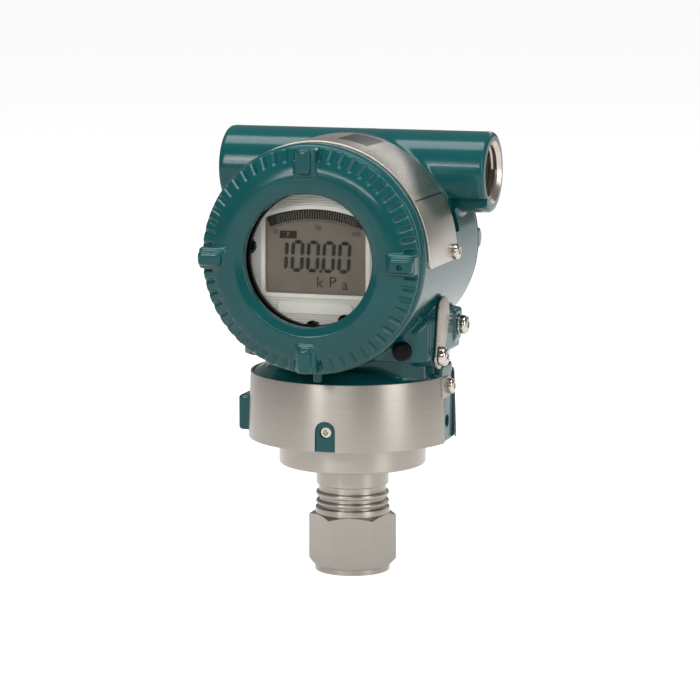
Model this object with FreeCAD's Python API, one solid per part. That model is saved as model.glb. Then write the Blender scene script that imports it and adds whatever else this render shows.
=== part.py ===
import FreeCAD, Part
import math
import os

# In-line gauge pressure transmitter, millimetres.
# Origin: centre of the process connector's bottom face. +Z is up along the process axis.
# The display looks towards -Y and the conduit tube lies along X.

# Process connector
HEX_ACROSS_FLATS = 32.0
HEX_HEIGHT = 22.5
HEX_CORNER_ANGLE = -15.5
HEX_BOTTOM_CHAMFER = 45.0
HEX_TOP_CHAMFER = 27.0
FOOT_RADIUS = 15.7
FOOT_HEIGHT = 2.2
COLLAR_RADIUS = 15.65
COLLAR_HEIGHT = 2.5
RIDGE_RADIUS = 15.4
RIDGE_ROOT_RADIUS = 13.9
RIDGE_BEVEL = 0.65
LOWER_GROOVE = 1.2
LOWER_RIDGE = 1.8
UPPER_GROOVE = 1.6
UPPER_RIDGE = 2.2
RELIEF_RADIUS = 14.2
RELIEF_HEIGHT = 2.8
NECK_RADIUS = 15.25
NECK_HEIGHT = 9.2
PORT_RADIUS = 10.6
PORT_DEPTH = 20.0
PORT_CHAMFER = 1.0
PASSAGE_RADIUS = 4.0
EDGE_BREAK = 0.4

# Capsule flange and the pressure capsule inside it
FLANGE_RADIUS = 30.8
FLANGE_SHOWING = 11.2
FLANGE_IN_RING = 16.8
FLANGE_EDGE = 0.8
LOCK_GROOVE_UP = 8.2
LOCK_GROOVE_HALF = 3.0
LOCK_GROOVE_DEPTH = 2.0
SEAL_GROOVE_UP = 3.0
SEAL_SECTION = 1.6
SEAL_SLACK = 0.2
SEAL_FLATS = 8
CHAMBER_RADIUS = 12.0
CHAMBER_HEIGHT = 3.0
CHAMBER_UP = 6.6
DIAPHRAGM_RADIUS = 15.0
DIAPHRAGM_THICKNESS = 0.4
CELL_RADIUS = 17.7
CELL_HEIGHT = 11.0
CELL_BEVEL = 1.0
HEADER_RADIUS = 9.0
HEADER_HEIGHT = 3.0
LEAD_RADIUS = 3.2
LEAD_LENGTH = 12.0
SOCKET_WIDTH = 11.0
SOCKET_DEPTH = 8.0
SOCKET_ROUNDING = 1.0
SEAT_SLACK = 0.2
SWIVEL_CLEARANCE = 0.3

# Lower ring of the housing, its band, pads and set screws
RING_HEIGHT = 27.3
RING_TOP_RADIUS = 41.85
RING_TAPER = 0.9
SHOULDER_RISE = 4.6
SHOULDER_RUN = 8.35
LEAD_ROOM_RADIUS = 14.0
LEAD_ROOM_HEIGHT = 11.7
DUCT_RADIUS = 5.0
DUCT_FORWARD = 15.0
BAND_THICKNESS = 0.8
BAND_MARGIN = 0.2
BAND_SLACK = 0.05
RIGHT_PAD_SINK = 0.65
RIGHT_PAD_HALF = 8.5
RIGHT_PAD_RISE = 5.0
LEFT_PAD_PROUD = 4.85
LEFT_PAD_HALF = 8.5
LEFT_PAD_UP = 2.9
LEFT_PAD_HEIGHT = 13.2
PAD_ROUNDING = 1.5
PAD_ROOT = 7.85
BRACKET_HOLE_RADIUS = 2.5
BRACKET_HOLE_DEPTH = 8.0
BRACKET_HOLE_UP = 8.3
TAB_SCREW_UP = 23.0
TAB_RADIUS = 4.2
TAB_SLACK = 0.05
SET_SCREW_ANGLE = 2.6
SET_SCREW_RADIUS = 2.4
SET_SCREW_RECESS = 1.2
SET_SCREW_SOCKET = 1.25
SET_SCREW_POINT = 0.96
NOTCH_HALF_WIDTH = 4.0
NOTCH_HEIGHT = 12.5

# Barrel, compartments and neck
BARREL_RADIUS = 46.2
BARREL_BOTTOM_Z = 91.5
BARREL_SHOULDER = 4.7
BARREL_FRONT = 51.0
BARREL_REAR = 29.3
BARREL_EDGE = 0.6
SPIGOT_LENGTH = 4.5
SPIGOT_WALL = 4.0
FRONT_FLOOR = 6.0
REAR_FLOOR = 4.0
O_RING_GROOVE_OFFSET = 1.7
O_RING_SECTION = 1.7
O_RING_SLACK = 0.2
BLOCK_BOTTOM_Z = 95.0
BLOCK_FRONT = 38.0
BLOCK_REAR = 24.0
BLOCK_RIGHT_INSET = 3.2
SHELF_HEIGHT = 17.0
SHELF_REAR = 13.7
SHELF_FRONT_DROP = 4.0
SHELF_FRONT_RUN = 4.5
CORE_RIGHT_INSET = 11.2
CHANNEL_UP = 2.9
CHANNEL_WIDTH = 1.9
CHANNEL_DEPTH = 1.8
CHANNELS_FORWARD = (31.5, 27.6)
BLOCK_LEFT_INSET = 10.2
BLOCK_FACET = 4.2
BLOCK_ROUNDING = 1.2
BLOCK_REAR_ROUNDING = 2.4
WAIST_FRONT = 27.0
WAIST_REAR = 20.0
WAIST_RIGHT = 37.0
WAIST_LEFT = 31.0
WAIST_FACET = 7.5
WAIST_ROUNDING = 1.0
WAIST_REAR_ROUNDING = 2.0

# Conduit tube across the rear compartment
TUBE_RADIUS = 16.8
TUBE_HALF_LENGTH = 57.5
TUBE_AXIS_REAR = 11.0
TUBE_AXIS_UP = 30.7
TUBE_ROUNDING = 2.4
ENTRY_RADIUS = 10.6
ENTRY_DEPTH = 24.5
ENTRY_CHAMFER = 1.9
CABLE_WAY_RADIUS = 8.0
CABLE_WAY_END_X = 17.0

# Cast pocket behind the nameplate and the earthing boss, on the right side
POCKET_FRONT = 3.4
POCKET_WIDTH = 5.0
POCKET_UP = 7.0
POCKET_HEIGHT = 14.0
POCKET_DEPTH = 4.2
EARTH_BOSS_PROUD = 1.0
EARTH_BOSS_FRONT = -2.2
EARTH_BOSS_WIDTH = 11.5
EARTH_BOSS_BOTTOM_Z = 98.6
EARTH_BOSS_HEIGHT = 13.4
EARTH_BOSS_DEPTH = 8.0
EARTH_SCREW_BACK = 6.3
EARTH_SCREW_UP = 6.2

# Screw covers, display and terminal side
COVER_GAP = 1.0
COVER_DEPTH = 9.5
DISPLAY_COVER_OVERHANG = 0.5
TERMINAL_COVER_OVERHANG = -0.3
COVER_RIM_HEIGHT = 2.2
COVER_RIM_DRAFT = 0.8
COVER_STEP = 1.6
COVER_STEP_RISE = 0.4
COVER_STEP_WALL = 2.3
COVER_SHOULDER_RUN = 9.1
COVER_SHOULDER_ROUNDING = 12.0
COVER_EDGE = 0.7
COVER_FRONT_WALL = 4.5
COVER_FLOOR_INSET = 1.8
THREAD_CLEARANCE = 0.3
THREAD_END_CLEARANCE = 0.2
WINDOW_BEVEL = 2.1
WINDOW_BEVEL_WIDTH = 3.45
GROOVES_PER_QUARTER = 13
GROOVE_WIDTH = 1.6
GROOVE_DEPTH = 1.0
GROOVE_INNER_MARGIN = 4.1
LUG_WIDTH = 6.2
LUG_OUTER_INSET = 1.9
LUG_INWARD = 1.4
LUG_PROUD = 3.5
LUG_ROUNDING = 1.0
LUG_INNER_ROUNDING = 1.5
LUG_PAD_EXTRA = 1.3
LUG_PAD_PROUD = 1.1
LUG_PAD_INNER_EXTRA = 2.2
LUG_PAD_OUTER_EXTRA = 0.2
LUG_ROOT = 1.0

# Window glass and its holding ring
GLASS_THICKNESS = 4.5
GASKET_THICKNESS = 0.7
GLASS_SLACK = 0.3
GLASS_COLLAR_ROOM = 5.0
GLASS_COLLAR_WALL = 6.2
GLASS_SEAT = 3.45
RETAINER_THICKNESS = 1.5
RETAINER_EDGE = 0.4

# Display module and boards
BEZEL_ROOM = 3.5
BEZEL_FRONT = 49.6
BEZEL_WALL = 1.5
BEZEL_FACE = 1.2
DISPLAY_SIDE_ROOM = 12.7
DISPLAY_BOTTOM = 13.3
DISPLAY_SIDE_TOP = 15.7
DISPLAY_ARCH_TOP = 19.8
PANEL_MARGIN = 2.0
PANEL_RECESS = 0.4
TABLET_HALF_WIDTH = 15.5
TABLET_HEIGHT = 5.6
TABLET_CENTRE_DOWN = 18.8
TABLET_DEPTH = 0.4
TABLET_ROUNDING = 1.0
NOTCH_HOLE_RADIUS = 3.1
MODULE_SCREW_INSET = 5.3
MODULE_SCREW_ANGLES = (172.0, 8.0, 268.0)
SETTING_HOLE_ANGLE = 296.4
INDICATOR_BOARD_FRONT = 43.6
BOARD_THICKNESS = 1.6
AMPLIFIER_BOARD_FRONT = 25.6
AMPLIFIER_BOARD_ROOM = 2.0
SPACER_RADIUS = 3.0
SPACER_INSET = 7.5
SPACER_COUNT = 3
MODULE_SCREW_RADIUS = 1.3
MODULE_SCREW_HEAD = 2.4
MODULE_SCREW_HEAD_HEIGHT = 1.8
CONNECTOR_WIDTH = 22.0
CONNECTOR_DEPTH = 6.0
CONNECTOR_UP = 14.0
CONNECTOR_ROUNDING = 0.8

# Terminal side
TERMINAL_SIDE_ROOM = 9.5
TERMINAL_END_ROOM = 7.5
TERMINAL_THICKNESS = 9.0
TERMINAL_CENTRE_DOWN = 6.0
TERMINAL_ROUNDING = 4.0
TERMINAL_FINS = 4
TERMINAL_FIN_HEIGHT = 6.0
TERMINAL_FIN_THICKNESS = 1.6
TERMINAL_PITCH = 13.0
TERMINAL_SCREW_DOWN = 3.0
TERMINAL_FIX_INSET = 5.0
TERMINAL_FIX_DOWN = 10.0
FEEDTHROUGH_RADIUS = 6.0
FEEDTHROUGH_FLANGE = 8.5
FEEDTHROUGH_FLANGE_HEIGHT = 2.5
INNER_EARTH_INSET = 3.9
INNER_EARTH_ANGLE = 233.5

# Nameplate strip
NAMEPLATE_THICKNESS = 0.8
NAMEPLATE_FRONT = 46.8
NAMEPLATE_REAR = 6.6
NAMEPLATE_HALF_ANGLE = 94.0
NAMEPLATE_SCREW_FORWARD = 10.8
NAMEPLATE_SLACK = 0.05
NAMEPLATE_CORNER = 4.0

# Zero adjustment and its flap, cover lock bolts, blanking plug
FLAP_THICKNESS = 1.0
FLAP_CLEARANCE = 0.3
FLAP_PIVOT_FORWARD = 21.5
FLAP_UNDER_BARREL = 1.7
FLAP_PIVOT_RADIUS = 5.2
FLAP_LOBE_BACK = 6.0
FLAP_LOBE_UP = 16.0
FLAP_LOBE_RADIUS = 8.0
FLAP_BOSS_MARGIN = 0.8
FLAP_BOSS_DEPTH = 13.0
ZERO_HEAD_RADIUS = 4.0
ZERO_HEAD_HEIGHT = 2.6
ZERO_HEAD_SINK = 0.5
ZERO_SHANK_RADIUS = 2.0
ZERO_SHANK_LENGTH = 9.0
ZERO_SLOT_WIDTH = 1.0
ZERO_SLOT_DEPTH = 1.2
TURN_CLEARANCE = 0.3
LOCK_BOLT_INSET_FRONT = 10.0
LOCK_BOLT_INSET_REAR = 2.7
FRONT_LOCK_BOLT_ANGLE = -1.9
REAR_LOCK_BOLT_ANGLE = -38.0
LOCK_BOLT_HEAD_RADIUS = 2.05
LOCK_BOLT_HEAD_HEIGHT = 5.4
LOCK_BOLT_RADIUS = 1.5
LOCK_BOLT_DEPTH = 6.0
PLUG_BEARING = 41.2
PLUG_HEAD_RADIUS = 4.0
PLUG_CLEARANCE = 0.15
PLUG_HEAD_HEIGHT = 2.0
PLUG_SHANK_RADIUS = 3.0
PLUG_DEPTH = 6.0

# Pan-head screws: radius of shank, radius and height of head, length under the head
M5_SHANK = 2.0
M5_HEAD = 4.0
M5_HEAD_HEIGHT = 3.0
M5_LENGTH = 9.0
M4_SHANK = 1.6
M4_HEAD = 3.2
M4_HEAD_HEIGHT = 2.4
M4_LENGTH = 7.0
WASHER_RADIUS = 4.5
WASHER_THICKNESS = 0.8
HEAD_BEVEL = 0.45
SCREW_HOLE_SLACK = 0.05

# Shared by many pieces: how far cutters and joined castings reach past a face, share of a half-round end
CUT_PAST = 1.0
CAST_OVERLAP = 1.0
NEARLY_ROUND = 0.99

# Heights and depths that follow from the sizes above
HEX_TOP_Z = FOOT_HEIGHT + HEX_HEIGHT
COLLAR_TOP_Z = HEX_TOP_Z + COLLAR_HEIGHT
LOWER_RIDGE_Z = COLLAR_TOP_Z + LOWER_GROOVE
UPPER_RIDGE_Z = LOWER_RIDGE_Z + LOWER_RIDGE + UPPER_GROOVE
RELIEF_Z = UPPER_RIDGE_Z + UPPER_RIDGE
NECK_Z = RELIEF_Z + RELIEF_HEIGHT
FLANGE_Z = NECK_Z + NECK_HEIGHT
RING_Z = FLANGE_Z + FLANGE_SHOWING
FLANGE_TOP_Z = RING_Z + FLANGE_IN_RING
RING_TOP_Z = RING_Z + RING_HEIGHT
RING_CEILING_Z = FLANGE_TOP_Z + SWIVEL_CLEARANCE
LEAD_ROOM_TOP_Z = RING_CEILING_Z + LEAD_ROOM_HEIGHT
RING_BORE = FLANGE_RADIUS + SWIVEL_CLEARANCE
DIAPHRAGM_Z = FLANGE_Z + CHAMBER_UP + CHAMBER_HEIGHT
CELL_Z = DIAPHRAGM_Z + DIAPHRAGM_THICKNESS
HEADER_Z = CELL_Z + CELL_HEIGHT
LEAD_Z = HEADER_Z + HEADER_HEIGHT
LEAD_TOP_Z = LEAD_Z + LEAD_LENGTH
SET_SCREW_Z = RING_Z + LOCK_GROOVE_UP
BRACKET_HOLE_Z = RING_Z + BRACKET_HOLE_UP
TAB_SCREW_Z = RING_Z + TAB_SCREW_UP
RING_BOTTOM_RADIUS = RING_TOP_RADIUS + RING_TAPER
RING_SLOPE = -RING_TAPER / RING_HEIGHT
SHOULDER_TOP_RADIUS = RING_TOP_RADIUS - SHOULDER_RUN
RIGHT_PAD_X = RING_TOP_RADIUS - RIGHT_PAD_SINK
LEFT_PAD_X = RING_BOTTOM_RADIUS + LEFT_PAD_PROUD
PAD_ROOT_X = RING_TOP_RADIUS - PAD_ROOT
BARREL_AXIS_Z = BARREL_BOTTOM_Z + BARREL_RADIUS
TUBE_AXIS_Z = BARREL_AXIS_Z + TUBE_AXIS_UP
SPIGOT_RADIUS = BARREL_RADIUS - BARREL_SHOULDER
COMPARTMENT_RADIUS = SPIGOT_RADIUS - SPIGOT_WALL
BLOCK_RIGHT = BARREL_RADIUS - BLOCK_RIGHT_INSET
BLOCK_LEFT = BARREL_RADIUS - BLOCK_LEFT_INSET
CORE_RIGHT = BARREL_RADIUS - CORE_RIGHT_INSET
SHELF_TOP_Z = BLOCK_BOTTOM_Z + SHELF_HEIGHT
POCKET_FLOOR_X = BARREL_RADIUS - POCKET_DEPTH
EARTH_BOSS_X = BLOCK_RIGHT + EARTH_BOSS_PROUD
DISPLAY_COVER_RADIUS = BARREL_RADIUS + DISPLAY_COVER_OVERHANG
TERMINAL_COVER_RADIUS = BARREL_RADIUS + TERMINAL_COVER_OVERHANG
COVER_FLOOR = COVER_DEPTH - COVER_FRONT_WALL
COVER_BORE = SPIGOT_RADIUS + THREAD_CLEARANCE
COVER_BORE_DEPTH = SPIGOT_LENGTH - COVER_GAP + THREAD_END_CLEARANCE
COVER_STEP_Z = COVER_RIM_HEIGHT + COVER_STEP_RISE
COVER_CONE_Z = COVER_STEP_Z + COVER_STEP_WALL
COVER_CONE_RISE = COVER_DEPTH - COVER_CONE_Z
COVER_CONE_SLANT = math.hypot(COVER_SHOULDER_RUN, COVER_CONE_RISE)
COVER_CONE_DRAW = COVER_SHOULDER_RUN / COVER_CONE_RISE
GLASS_COLLAR_RADIUS = COVER_BORE - GLASS_COLLAR_ROOM
GLASS_RADIUS = GLASS_COLLAR_RADIUS - GLASS_COLLAR_WALL - GLASS_SLACK
WINDOW_RADIUS = GLASS_RADIUS - GLASS_SEAT
CREASE_RADIUS = WINDOW_RADIUS + WINDOW_BEVEL_WIDTH
GLASS_TOP = COVER_FLOOR - GASKET_THICKNESS
GLASS_BOTTOM = GLASS_TOP - GLASS_THICKNESS
BEZEL_RADIUS = COMPARTMENT_RADIUS - BEZEL_ROOM
DISPLAY_HALF_WIDTH = BEZEL_RADIUS - DISPLAY_SIDE_ROOM
AMPLIFIER_BOARD_RADIUS = COMPARTMENT_RADIUS - AMPLIFIER_BOARD_ROOM
SPACER_CIRCLE = COMPARTMENT_RADIUS - SPACER_INSET
TERMINAL_WIDTH = 2 * (COMPARTMENT_RADIUS - TERMINAL_SIDE_ROOM)
TERMINAL_HEIGHT = COMPARTMENT_RADIUS - TERMINAL_END_ROOM
FLAP_X = BLOCK_RIGHT + FLAP_CLEARANCE
FLAP_SCREW_X = FLAP_X + FLAP_THICKNESS + FLAP_CLEARANCE
BARREL_OVER_FLAP_Z = BARREL_AXIS_Z - math.sqrt(BARREL_RADIUS ** 2 - FLAP_X ** 2)
ZERO_BACK = FLAP_LOBE_BACK - FLAP_PIVOT_FORWARD
ZERO_Z = BARREL_OVER_FLAP_Z - FLAP_UNDER_BARREL - FLAP_LOBE_RADIUS
FLAP_PIVOT_Z = ZERO_Z - FLAP_LOBE_UP
PLUG_FROM_AXIS = BARREL_RADIUS + PLUG_HEAD_RADIUS + PLUG_CLEARANCE
PLUG_X = PLUG_FROM_AXIS * math.sin(math.radians(PLUG_BEARING))
PLUG_Z = BARREL_AXIS_Z - PLUG_FROM_AXIS * math.cos(math.radians(PLUG_BEARING))

Vec = FreeCAD.Vector
X_AXIS = Vec(1, 0, 0)
Y_AXIS = Vec(0, 1, 0)
Z_AXIS = Vec(0, 0, 1)


def outline_edges(corners, round_off):
    """Edges of a closed outline in XY. Each corner is (x, y, size), rounded off or bevelled to its size."""
    ins = []
    outs = []
    middles = []
    count = len(corners)
    for i in range(count):
        here = Vec(corners[i][0], corners[i][1], 0)
        last = corners[i - 1]
        following = corners[(i + 1) % count]
        back = (Vec(last[0], last[1], 0) - here).normalize()
        ahead = (Vec(following[0], following[1], 0) - here).normalize()
        size = corners[i][2]
        half = back.getAngle(ahead) / 2
        reach = size / math.tan(half) if round_off else size
        ins.append(here + back * reach)
        outs.append(here + ahead * reach)
        bisector = back + ahead
        if size > 0 and round_off:
            bisector.normalize()
            middles.append(here + bisector * (size / math.sin(half) - size))
        else:
            middles.append(None)
    edges = []
    for i in range(count):
        if middles[i] is not None:
            edges.append(Part.Arc(ins[i], middles[i], outs[i]).toShape())
        elif corners[i][2] > 0:
            edges.append(Part.LineSegment(ins[i], outs[i]).toShape())
        start = outs[i]
        end = ins[(i + 1) % count]
        if start.distanceToPoint(end) > 1e-6:
            edges.append(Part.LineSegment(start, end).toShape())
    return edges


def outline_face(corners, round_off=True):
    """Face in XY inside a closed outline."""
    return Part.Face(Part.Wire(outline_edges(corners, round_off)))


def plate(corners, low, high):
    """Outline in XY with its thickness from low to high along Z."""
    face = outline_face(corners)
    face.translate(Vec(0, 0, low))
    return face.extrude(Vec(0, 0, high - low))


def turned(corners, round_off=False):
    """Solid turned about Z from a profile of (radius, height, size), with its corners bevelled."""
    face = outline_face(corners, round_off)
    face.rotate(Vec(0, 0, 0), X_AXIS, 90)
    return face.revolve(Vec(0, 0, 0), Z_AXIS, 360)


def disc(radius, low, high, x=0.0, y=0.0):
    """Upright cylinder between two heights."""
    return Part.makeCylinder(radius, high - low, Vec(x, y, low))


def ring(outer, inner, low, high):
    """Flat ring between two heights."""
    return disc(outer, low, high).cut(disc(inner, low, high))


def box(low_x, high_x, low_y, high_y, low_z, high_z):
    """Block between two corners."""
    return Part.makeBox(high_x - low_x, high_y - low_y, high_z - low_z, Vec(low_x, low_y, low_z))


def rounded_box(half_x, half_y, rounding):
    """Outline of a rectangle about the origin with rounded corners."""
    return [
        (-half_x, -half_y, rounding),
        (half_x, -half_y, rounding),
        (half_x, half_y, rounding),
        (-half_x, half_y, rounding),
    ]


def faced(shape, origin, right, outward):
    """Turns a shape built on Z so that Z points outward and X points right, at origin."""
    up = outward.cross(right)
    turn = FreeCAD.Rotation(right, up, outward, "ZXY")
    copy = shape.copy()
    copy.Placement = FreeCAD.Placement(origin, turn).multiply(shape.Placement)
    return copy


def to_front(shape):
    """Puts a shape built on Z on the barrel axis, looking forward."""
    return faced(shape, Vec(0, 0, BARREL_AXIS_Z), X_AXIS, -Y_AXIS)


def to_rear(shape):
    """Puts a shape built on Z on the barrel axis, looking backward."""
    return faced(shape, Vec(0, 0, BARREL_AXIS_Z), -X_AXIS, Y_AXIS)


def to_right(shape, x, y, z):
    """Puts a shape built on Z at a point, looking to the right."""
    return faced(shape, Vec(x, y, z), Y_AXIS, X_AXIS)


def to_left(shape, x, y, z):
    """Puts a shape built on Z at a point, looking to the left."""
    return faced(shape, Vec(x, y, z), -Y_AXIS, -X_AXIS)


def pan_screw(shank, head, head_height, length):
    """Pan-head screw on Z, with its head seated at height 0."""
    return turned([
        (0, -length, 0),
        (shank, -length, 0),
        (shank, 0, 0),
        (head, 0, 0),
        (head, head_height, head_height * HEAD_BEVEL),
        (0, head_height, 0),
    ])


def screw_hole(shank, length):
    """Hole on Z for a screw seated at height 0."""
    return disc(shank + SCREW_HOLE_SLACK, -length - SCREW_HOLE_SLACK, SCREW_HOLE_SLACK)


def m5_screw():
    return pan_screw(M5_SHANK, M5_HEAD, M5_HEAD_HEIGHT, M5_LENGTH)


def m4_screw():
    return pan_screw(M4_SHANK, M4_HEAD, M4_HEAD_HEIGHT, M4_LENGTH)


def seal(radius, section, height):
    """O-ring about Z, with its round section drawn as a few flats."""
    points = []
    for i in range(SEAL_FLATS):
        angle = 2 * math.pi * i / SEAL_FLATS
        points.append((radius + section / 2 * math.cos(angle), height + section / 2 * math.sin(angle), 0))
    return turned(points)


def process_connector():
    """Hexagon fitting with its female port and the passage to the capsule."""
    corner = HEX_ACROSS_FLATS / 2 / math.cos(math.pi / 6)
    bottom_rise = (corner - FOOT_RADIUS) * math.tan(math.radians(HEX_BOTTOM_CHAMFER))
    top_drop = (corner - FOOT_RADIUS) * math.tan(math.radians(HEX_TOP_CHAMFER))
    points = []
    for i in range(6):
        angle = math.radians(HEX_CORNER_ANGLE + 60 * i - 90)
        points.append((corner * math.cos(angle), corner * math.sin(angle), 0))
    hexagon = plate(points, FOOT_HEIGHT, HEX_TOP_Z)
    chamfers = turned([
        (0, FOOT_HEIGHT, 0),
        (FOOT_RADIUS, FOOT_HEIGHT, 0),
        (corner, FOOT_HEIGHT + bottom_rise, 0),
        (corner, HEX_TOP_Z - top_drop, 0),
        (FOOT_RADIUS, HEX_TOP_Z, 0),
        (0, HEX_TOP_Z, 0),
    ])
    hexagon = hexagon.common(chamfers)
    foot = turned([
        (0, 0, 0),
        (FOOT_RADIUS, 0, EDGE_BREAK),
        (FOOT_RADIUS, FOOT_HEIGHT, 0),
        (0, FOOT_HEIGHT, 0),
    ])
    stem = turned([
        (0, HEX_TOP_Z, 0),
        (COLLAR_RADIUS, HEX_TOP_Z, 0),
        (COLLAR_RADIUS, COLLAR_TOP_Z, EDGE_BREAK),
        (RIDGE_ROOT_RADIUS, COLLAR_TOP_Z, 0),
        (RIDGE_ROOT_RADIUS, LOWER_RIDGE_Z, 0),
        (RIDGE_RADIUS, LOWER_RIDGE_Z, RIDGE_BEVEL),
        (RIDGE_RADIUS, LOWER_RIDGE_Z + LOWER_RIDGE, RIDGE_BEVEL),
        (RIDGE_ROOT_RADIUS, LOWER_RIDGE_Z + LOWER_RIDGE, 0),
        (RIDGE_ROOT_RADIUS, UPPER_RIDGE_Z, 0),
        (RIDGE_RADIUS, UPPER_RIDGE_Z, RIDGE_BEVEL),
        (RIDGE_RADIUS, RELIEF_Z, RIDGE_BEVEL),
        (RELIEF_RADIUS, RELIEF_Z, 0),
        (RELIEF_RADIUS, NECK_Z, 0),
        (NECK_RADIUS, NECK_Z, EDGE_BREAK),
        (NECK_RADIUS, FLANGE_Z, 0),
        (0, FLANGE_Z, 0),
    ])
    port = turned([
        (0, 0, 0),
        (PORT_RADIUS + PORT_CHAMFER, 0, 0),
        (PORT_RADIUS, PORT_CHAMFER, 0),
        (PORT_RADIUS, PORT_DEPTH, 0),
        (0, PORT_DEPTH, 0),
    ])
    passage = disc(PASSAGE_RADIUS, PORT_DEPTH, FLANGE_Z)
    body = foot.fuse([hexagon, stem]).removeSplitter()
    return body.cut([port, passage])


def capsule_flange():
    """Turned disc with the lock groove, the seal groove and the capsule's seat."""
    lock_low = SET_SCREW_Z - LOCK_GROOVE_HALF
    lock_high = SET_SCREW_Z + LOCK_GROOVE_HALF
    lock_floor = FLANGE_RADIUS - LOCK_GROOVE_DEPTH
    seal_low = RING_Z + SEAL_GROOVE_UP - SEAL_SECTION / 2 - SEAL_SLACK
    seal_high = RING_Z + SEAL_GROOVE_UP + SEAL_SECTION / 2 + SEAL_SLACK
    seal_floor = RING_BORE - SEAL_SECTION - 2 * SEAL_SLACK
    chamber_z = FLANGE_Z + CHAMBER_UP
    seat = DIAPHRAGM_RADIUS + SEAT_SLACK
    return turned([
        (PASSAGE_RADIUS, FLANGE_Z, 0),
        (FLANGE_RADIUS, FLANGE_Z, FLANGE_EDGE),
        (FLANGE_RADIUS, seal_low, 0),
        (seal_floor, seal_low, 0),
        (seal_floor, seal_high, 0),
        (FLANGE_RADIUS, seal_high, 0),
        (FLANGE_RADIUS, lock_low, 0),
        (lock_floor, lock_low, 0),
        (lock_floor, lock_high, 0),
        (FLANGE_RADIUS, lock_high, 0),
        (FLANGE_RADIUS, FLANGE_TOP_Z, FLANGE_EDGE),
        (CELL_RADIUS + SEAT_SLACK, FLANGE_TOP_Z, 0),
        (CELL_RADIUS + SEAT_SLACK, CELL_Z, 0),
        (seat, CELL_Z, 0),
        (seat, DIAPHRAGM_Z, 0),
        (CHAMBER_RADIUS, DIAPHRAGM_Z, 0),
        (CHAMBER_RADIUS, chamber_z, 0),
        (PASSAGE_RADIUS, chamber_z, 0),
    ])


def swivel_o_ring():
    """Seal in the flange's lower groove."""
    radius = RING_BORE - SEAL_SECTION / 2 - SEAL_SLACK
    return seal(radius, SEAL_SECTION, RING_Z + SEAL_GROOVE_UP)


def sensor_diaphragm():
    return disc(DIAPHRAGM_RADIUS, DIAPHRAGM_Z, CELL_Z)


def sensor_cell():
    return turned([
        (0, CELL_Z, 0),
        (CELL_RADIUS, CELL_Z, 0),
        (CELL_RADIUS, HEADER_Z, CELL_BEVEL),
        (0, HEADER_Z, 0),
    ])


def sensor_header():
    return disc(HEADER_RADIUS, HEADER_Z, LEAD_Z)


def sensor_lead():
    """Bundle of leads on the swivel axis, from the header to the socket."""
    return disc(LEAD_RADIUS, LEAD_Z, LEAD_TOP_Z)


def lead_socket():
    """Plug socket under the roof of the lead room."""
    outline = rounded_box(SOCKET_WIDTH / 2, SOCKET_DEPTH / 2, SOCKET_ROUNDING)
    return plate(outline, LEAD_TOP_Z + SWIVEL_CLEARANCE, LEAD_ROOM_TOP_Z)


def faceted(front, rear, right, left, facet, rounding, rear_rounding, low, high):
    """Block with a wide facet at its front corners and plain rounded rear corners."""
    return plate([
        (-left, -front + facet, rounding),
        (-left + facet, -front, rounding),
        (right - facet, -front, rounding),
        (right, -front + facet, rounding),
        (right, rear, rear_rounding),
        (-left, rear, rear_rounding),
    ], low, high)


def shelf():
    """Lower, wider step of the block on the right, with a sloped front edge and two upright channels."""
    step = faceted(BLOCK_FRONT, SHELF_REAR, BLOCK_RIGHT, BLOCK_LEFT, BLOCK_FACET,
                   BLOCK_ROUNDING, BLOCK_ROUNDING, BLOCK_BOTTOM_Z, SHELF_TOP_Z)
    slope = plate([
        (-BLOCK_FRONT, -SHELF_FRONT_DROP, 0),
        (-BLOCK_FRONT + SHELF_FRONT_RUN, 0, 0),
        (-BLOCK_FRONT, CUT_PAST, 0),
        (-BLOCK_FRONT - CUT_PAST, 0, 0),
        (-BLOCK_FRONT - CUT_PAST, -SHELF_FRONT_DROP, 0),
    ], CORE_RIGHT, BLOCK_RIGHT)
    cuts = [to_right(slope, 0, 0, SHELF_TOP_Z)]
    for forward in CHANNELS_FORWARD:
        cuts.append(box(BLOCK_RIGHT - CHANNEL_DEPTH, BLOCK_RIGHT + CUT_PAST, -forward - CHANNEL_WIDTH / 2,
                        -forward + CHANNEL_WIDTH / 2, BLOCK_BOTTOM_Z + CHANNEL_UP, SHELF_TOP_Z + CUT_PAST))
    return step.cut(cuts)


def ring_body():
    """Tapered lower ring with its sloping shoulder and a flat milled on its right side."""
    body = turned([
        (0, RING_Z, 0),
        (RING_BOTTOM_RADIUS, RING_Z, EDGE_BREAK),
        (RING_TOP_RADIUS, RING_TOP_Z, EDGE_BREAK),
        (SHOULDER_TOP_RADIUS, RING_TOP_Z + SHOULDER_RISE, 0),
        (0, RING_TOP_Z + SHOULDER_RISE, 0),
    ])
    flat = box(RIGHT_PAD_X, RING_BOTTOM_RADIUS + CUT_PAST, -RIGHT_PAD_HALF, RIGHT_PAD_HALF,
               RING_Z, RING_TOP_Z + SHOULDER_RISE)
    return body.cut(flat)


def right_pad():
    """Flat pad on the ring's right side for the band's tab and a bracket bolt."""
    height = RING_HEIGHT + RIGHT_PAD_RISE
    outline = [
        (-RIGHT_PAD_HALF, 0, 0),
        (RIGHT_PAD_HALF, 0, 0),
        (RIGHT_PAD_HALF, height, PAD_ROUNDING),
        (-RIGHT_PAD_HALF, height, PAD_ROUNDING),
    ]
    pad = plate(outline, 0, RIGHT_PAD_X - PAD_ROOT_X)
    return to_right(pad, PAD_ROOT_X, 0, RING_Z)


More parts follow.
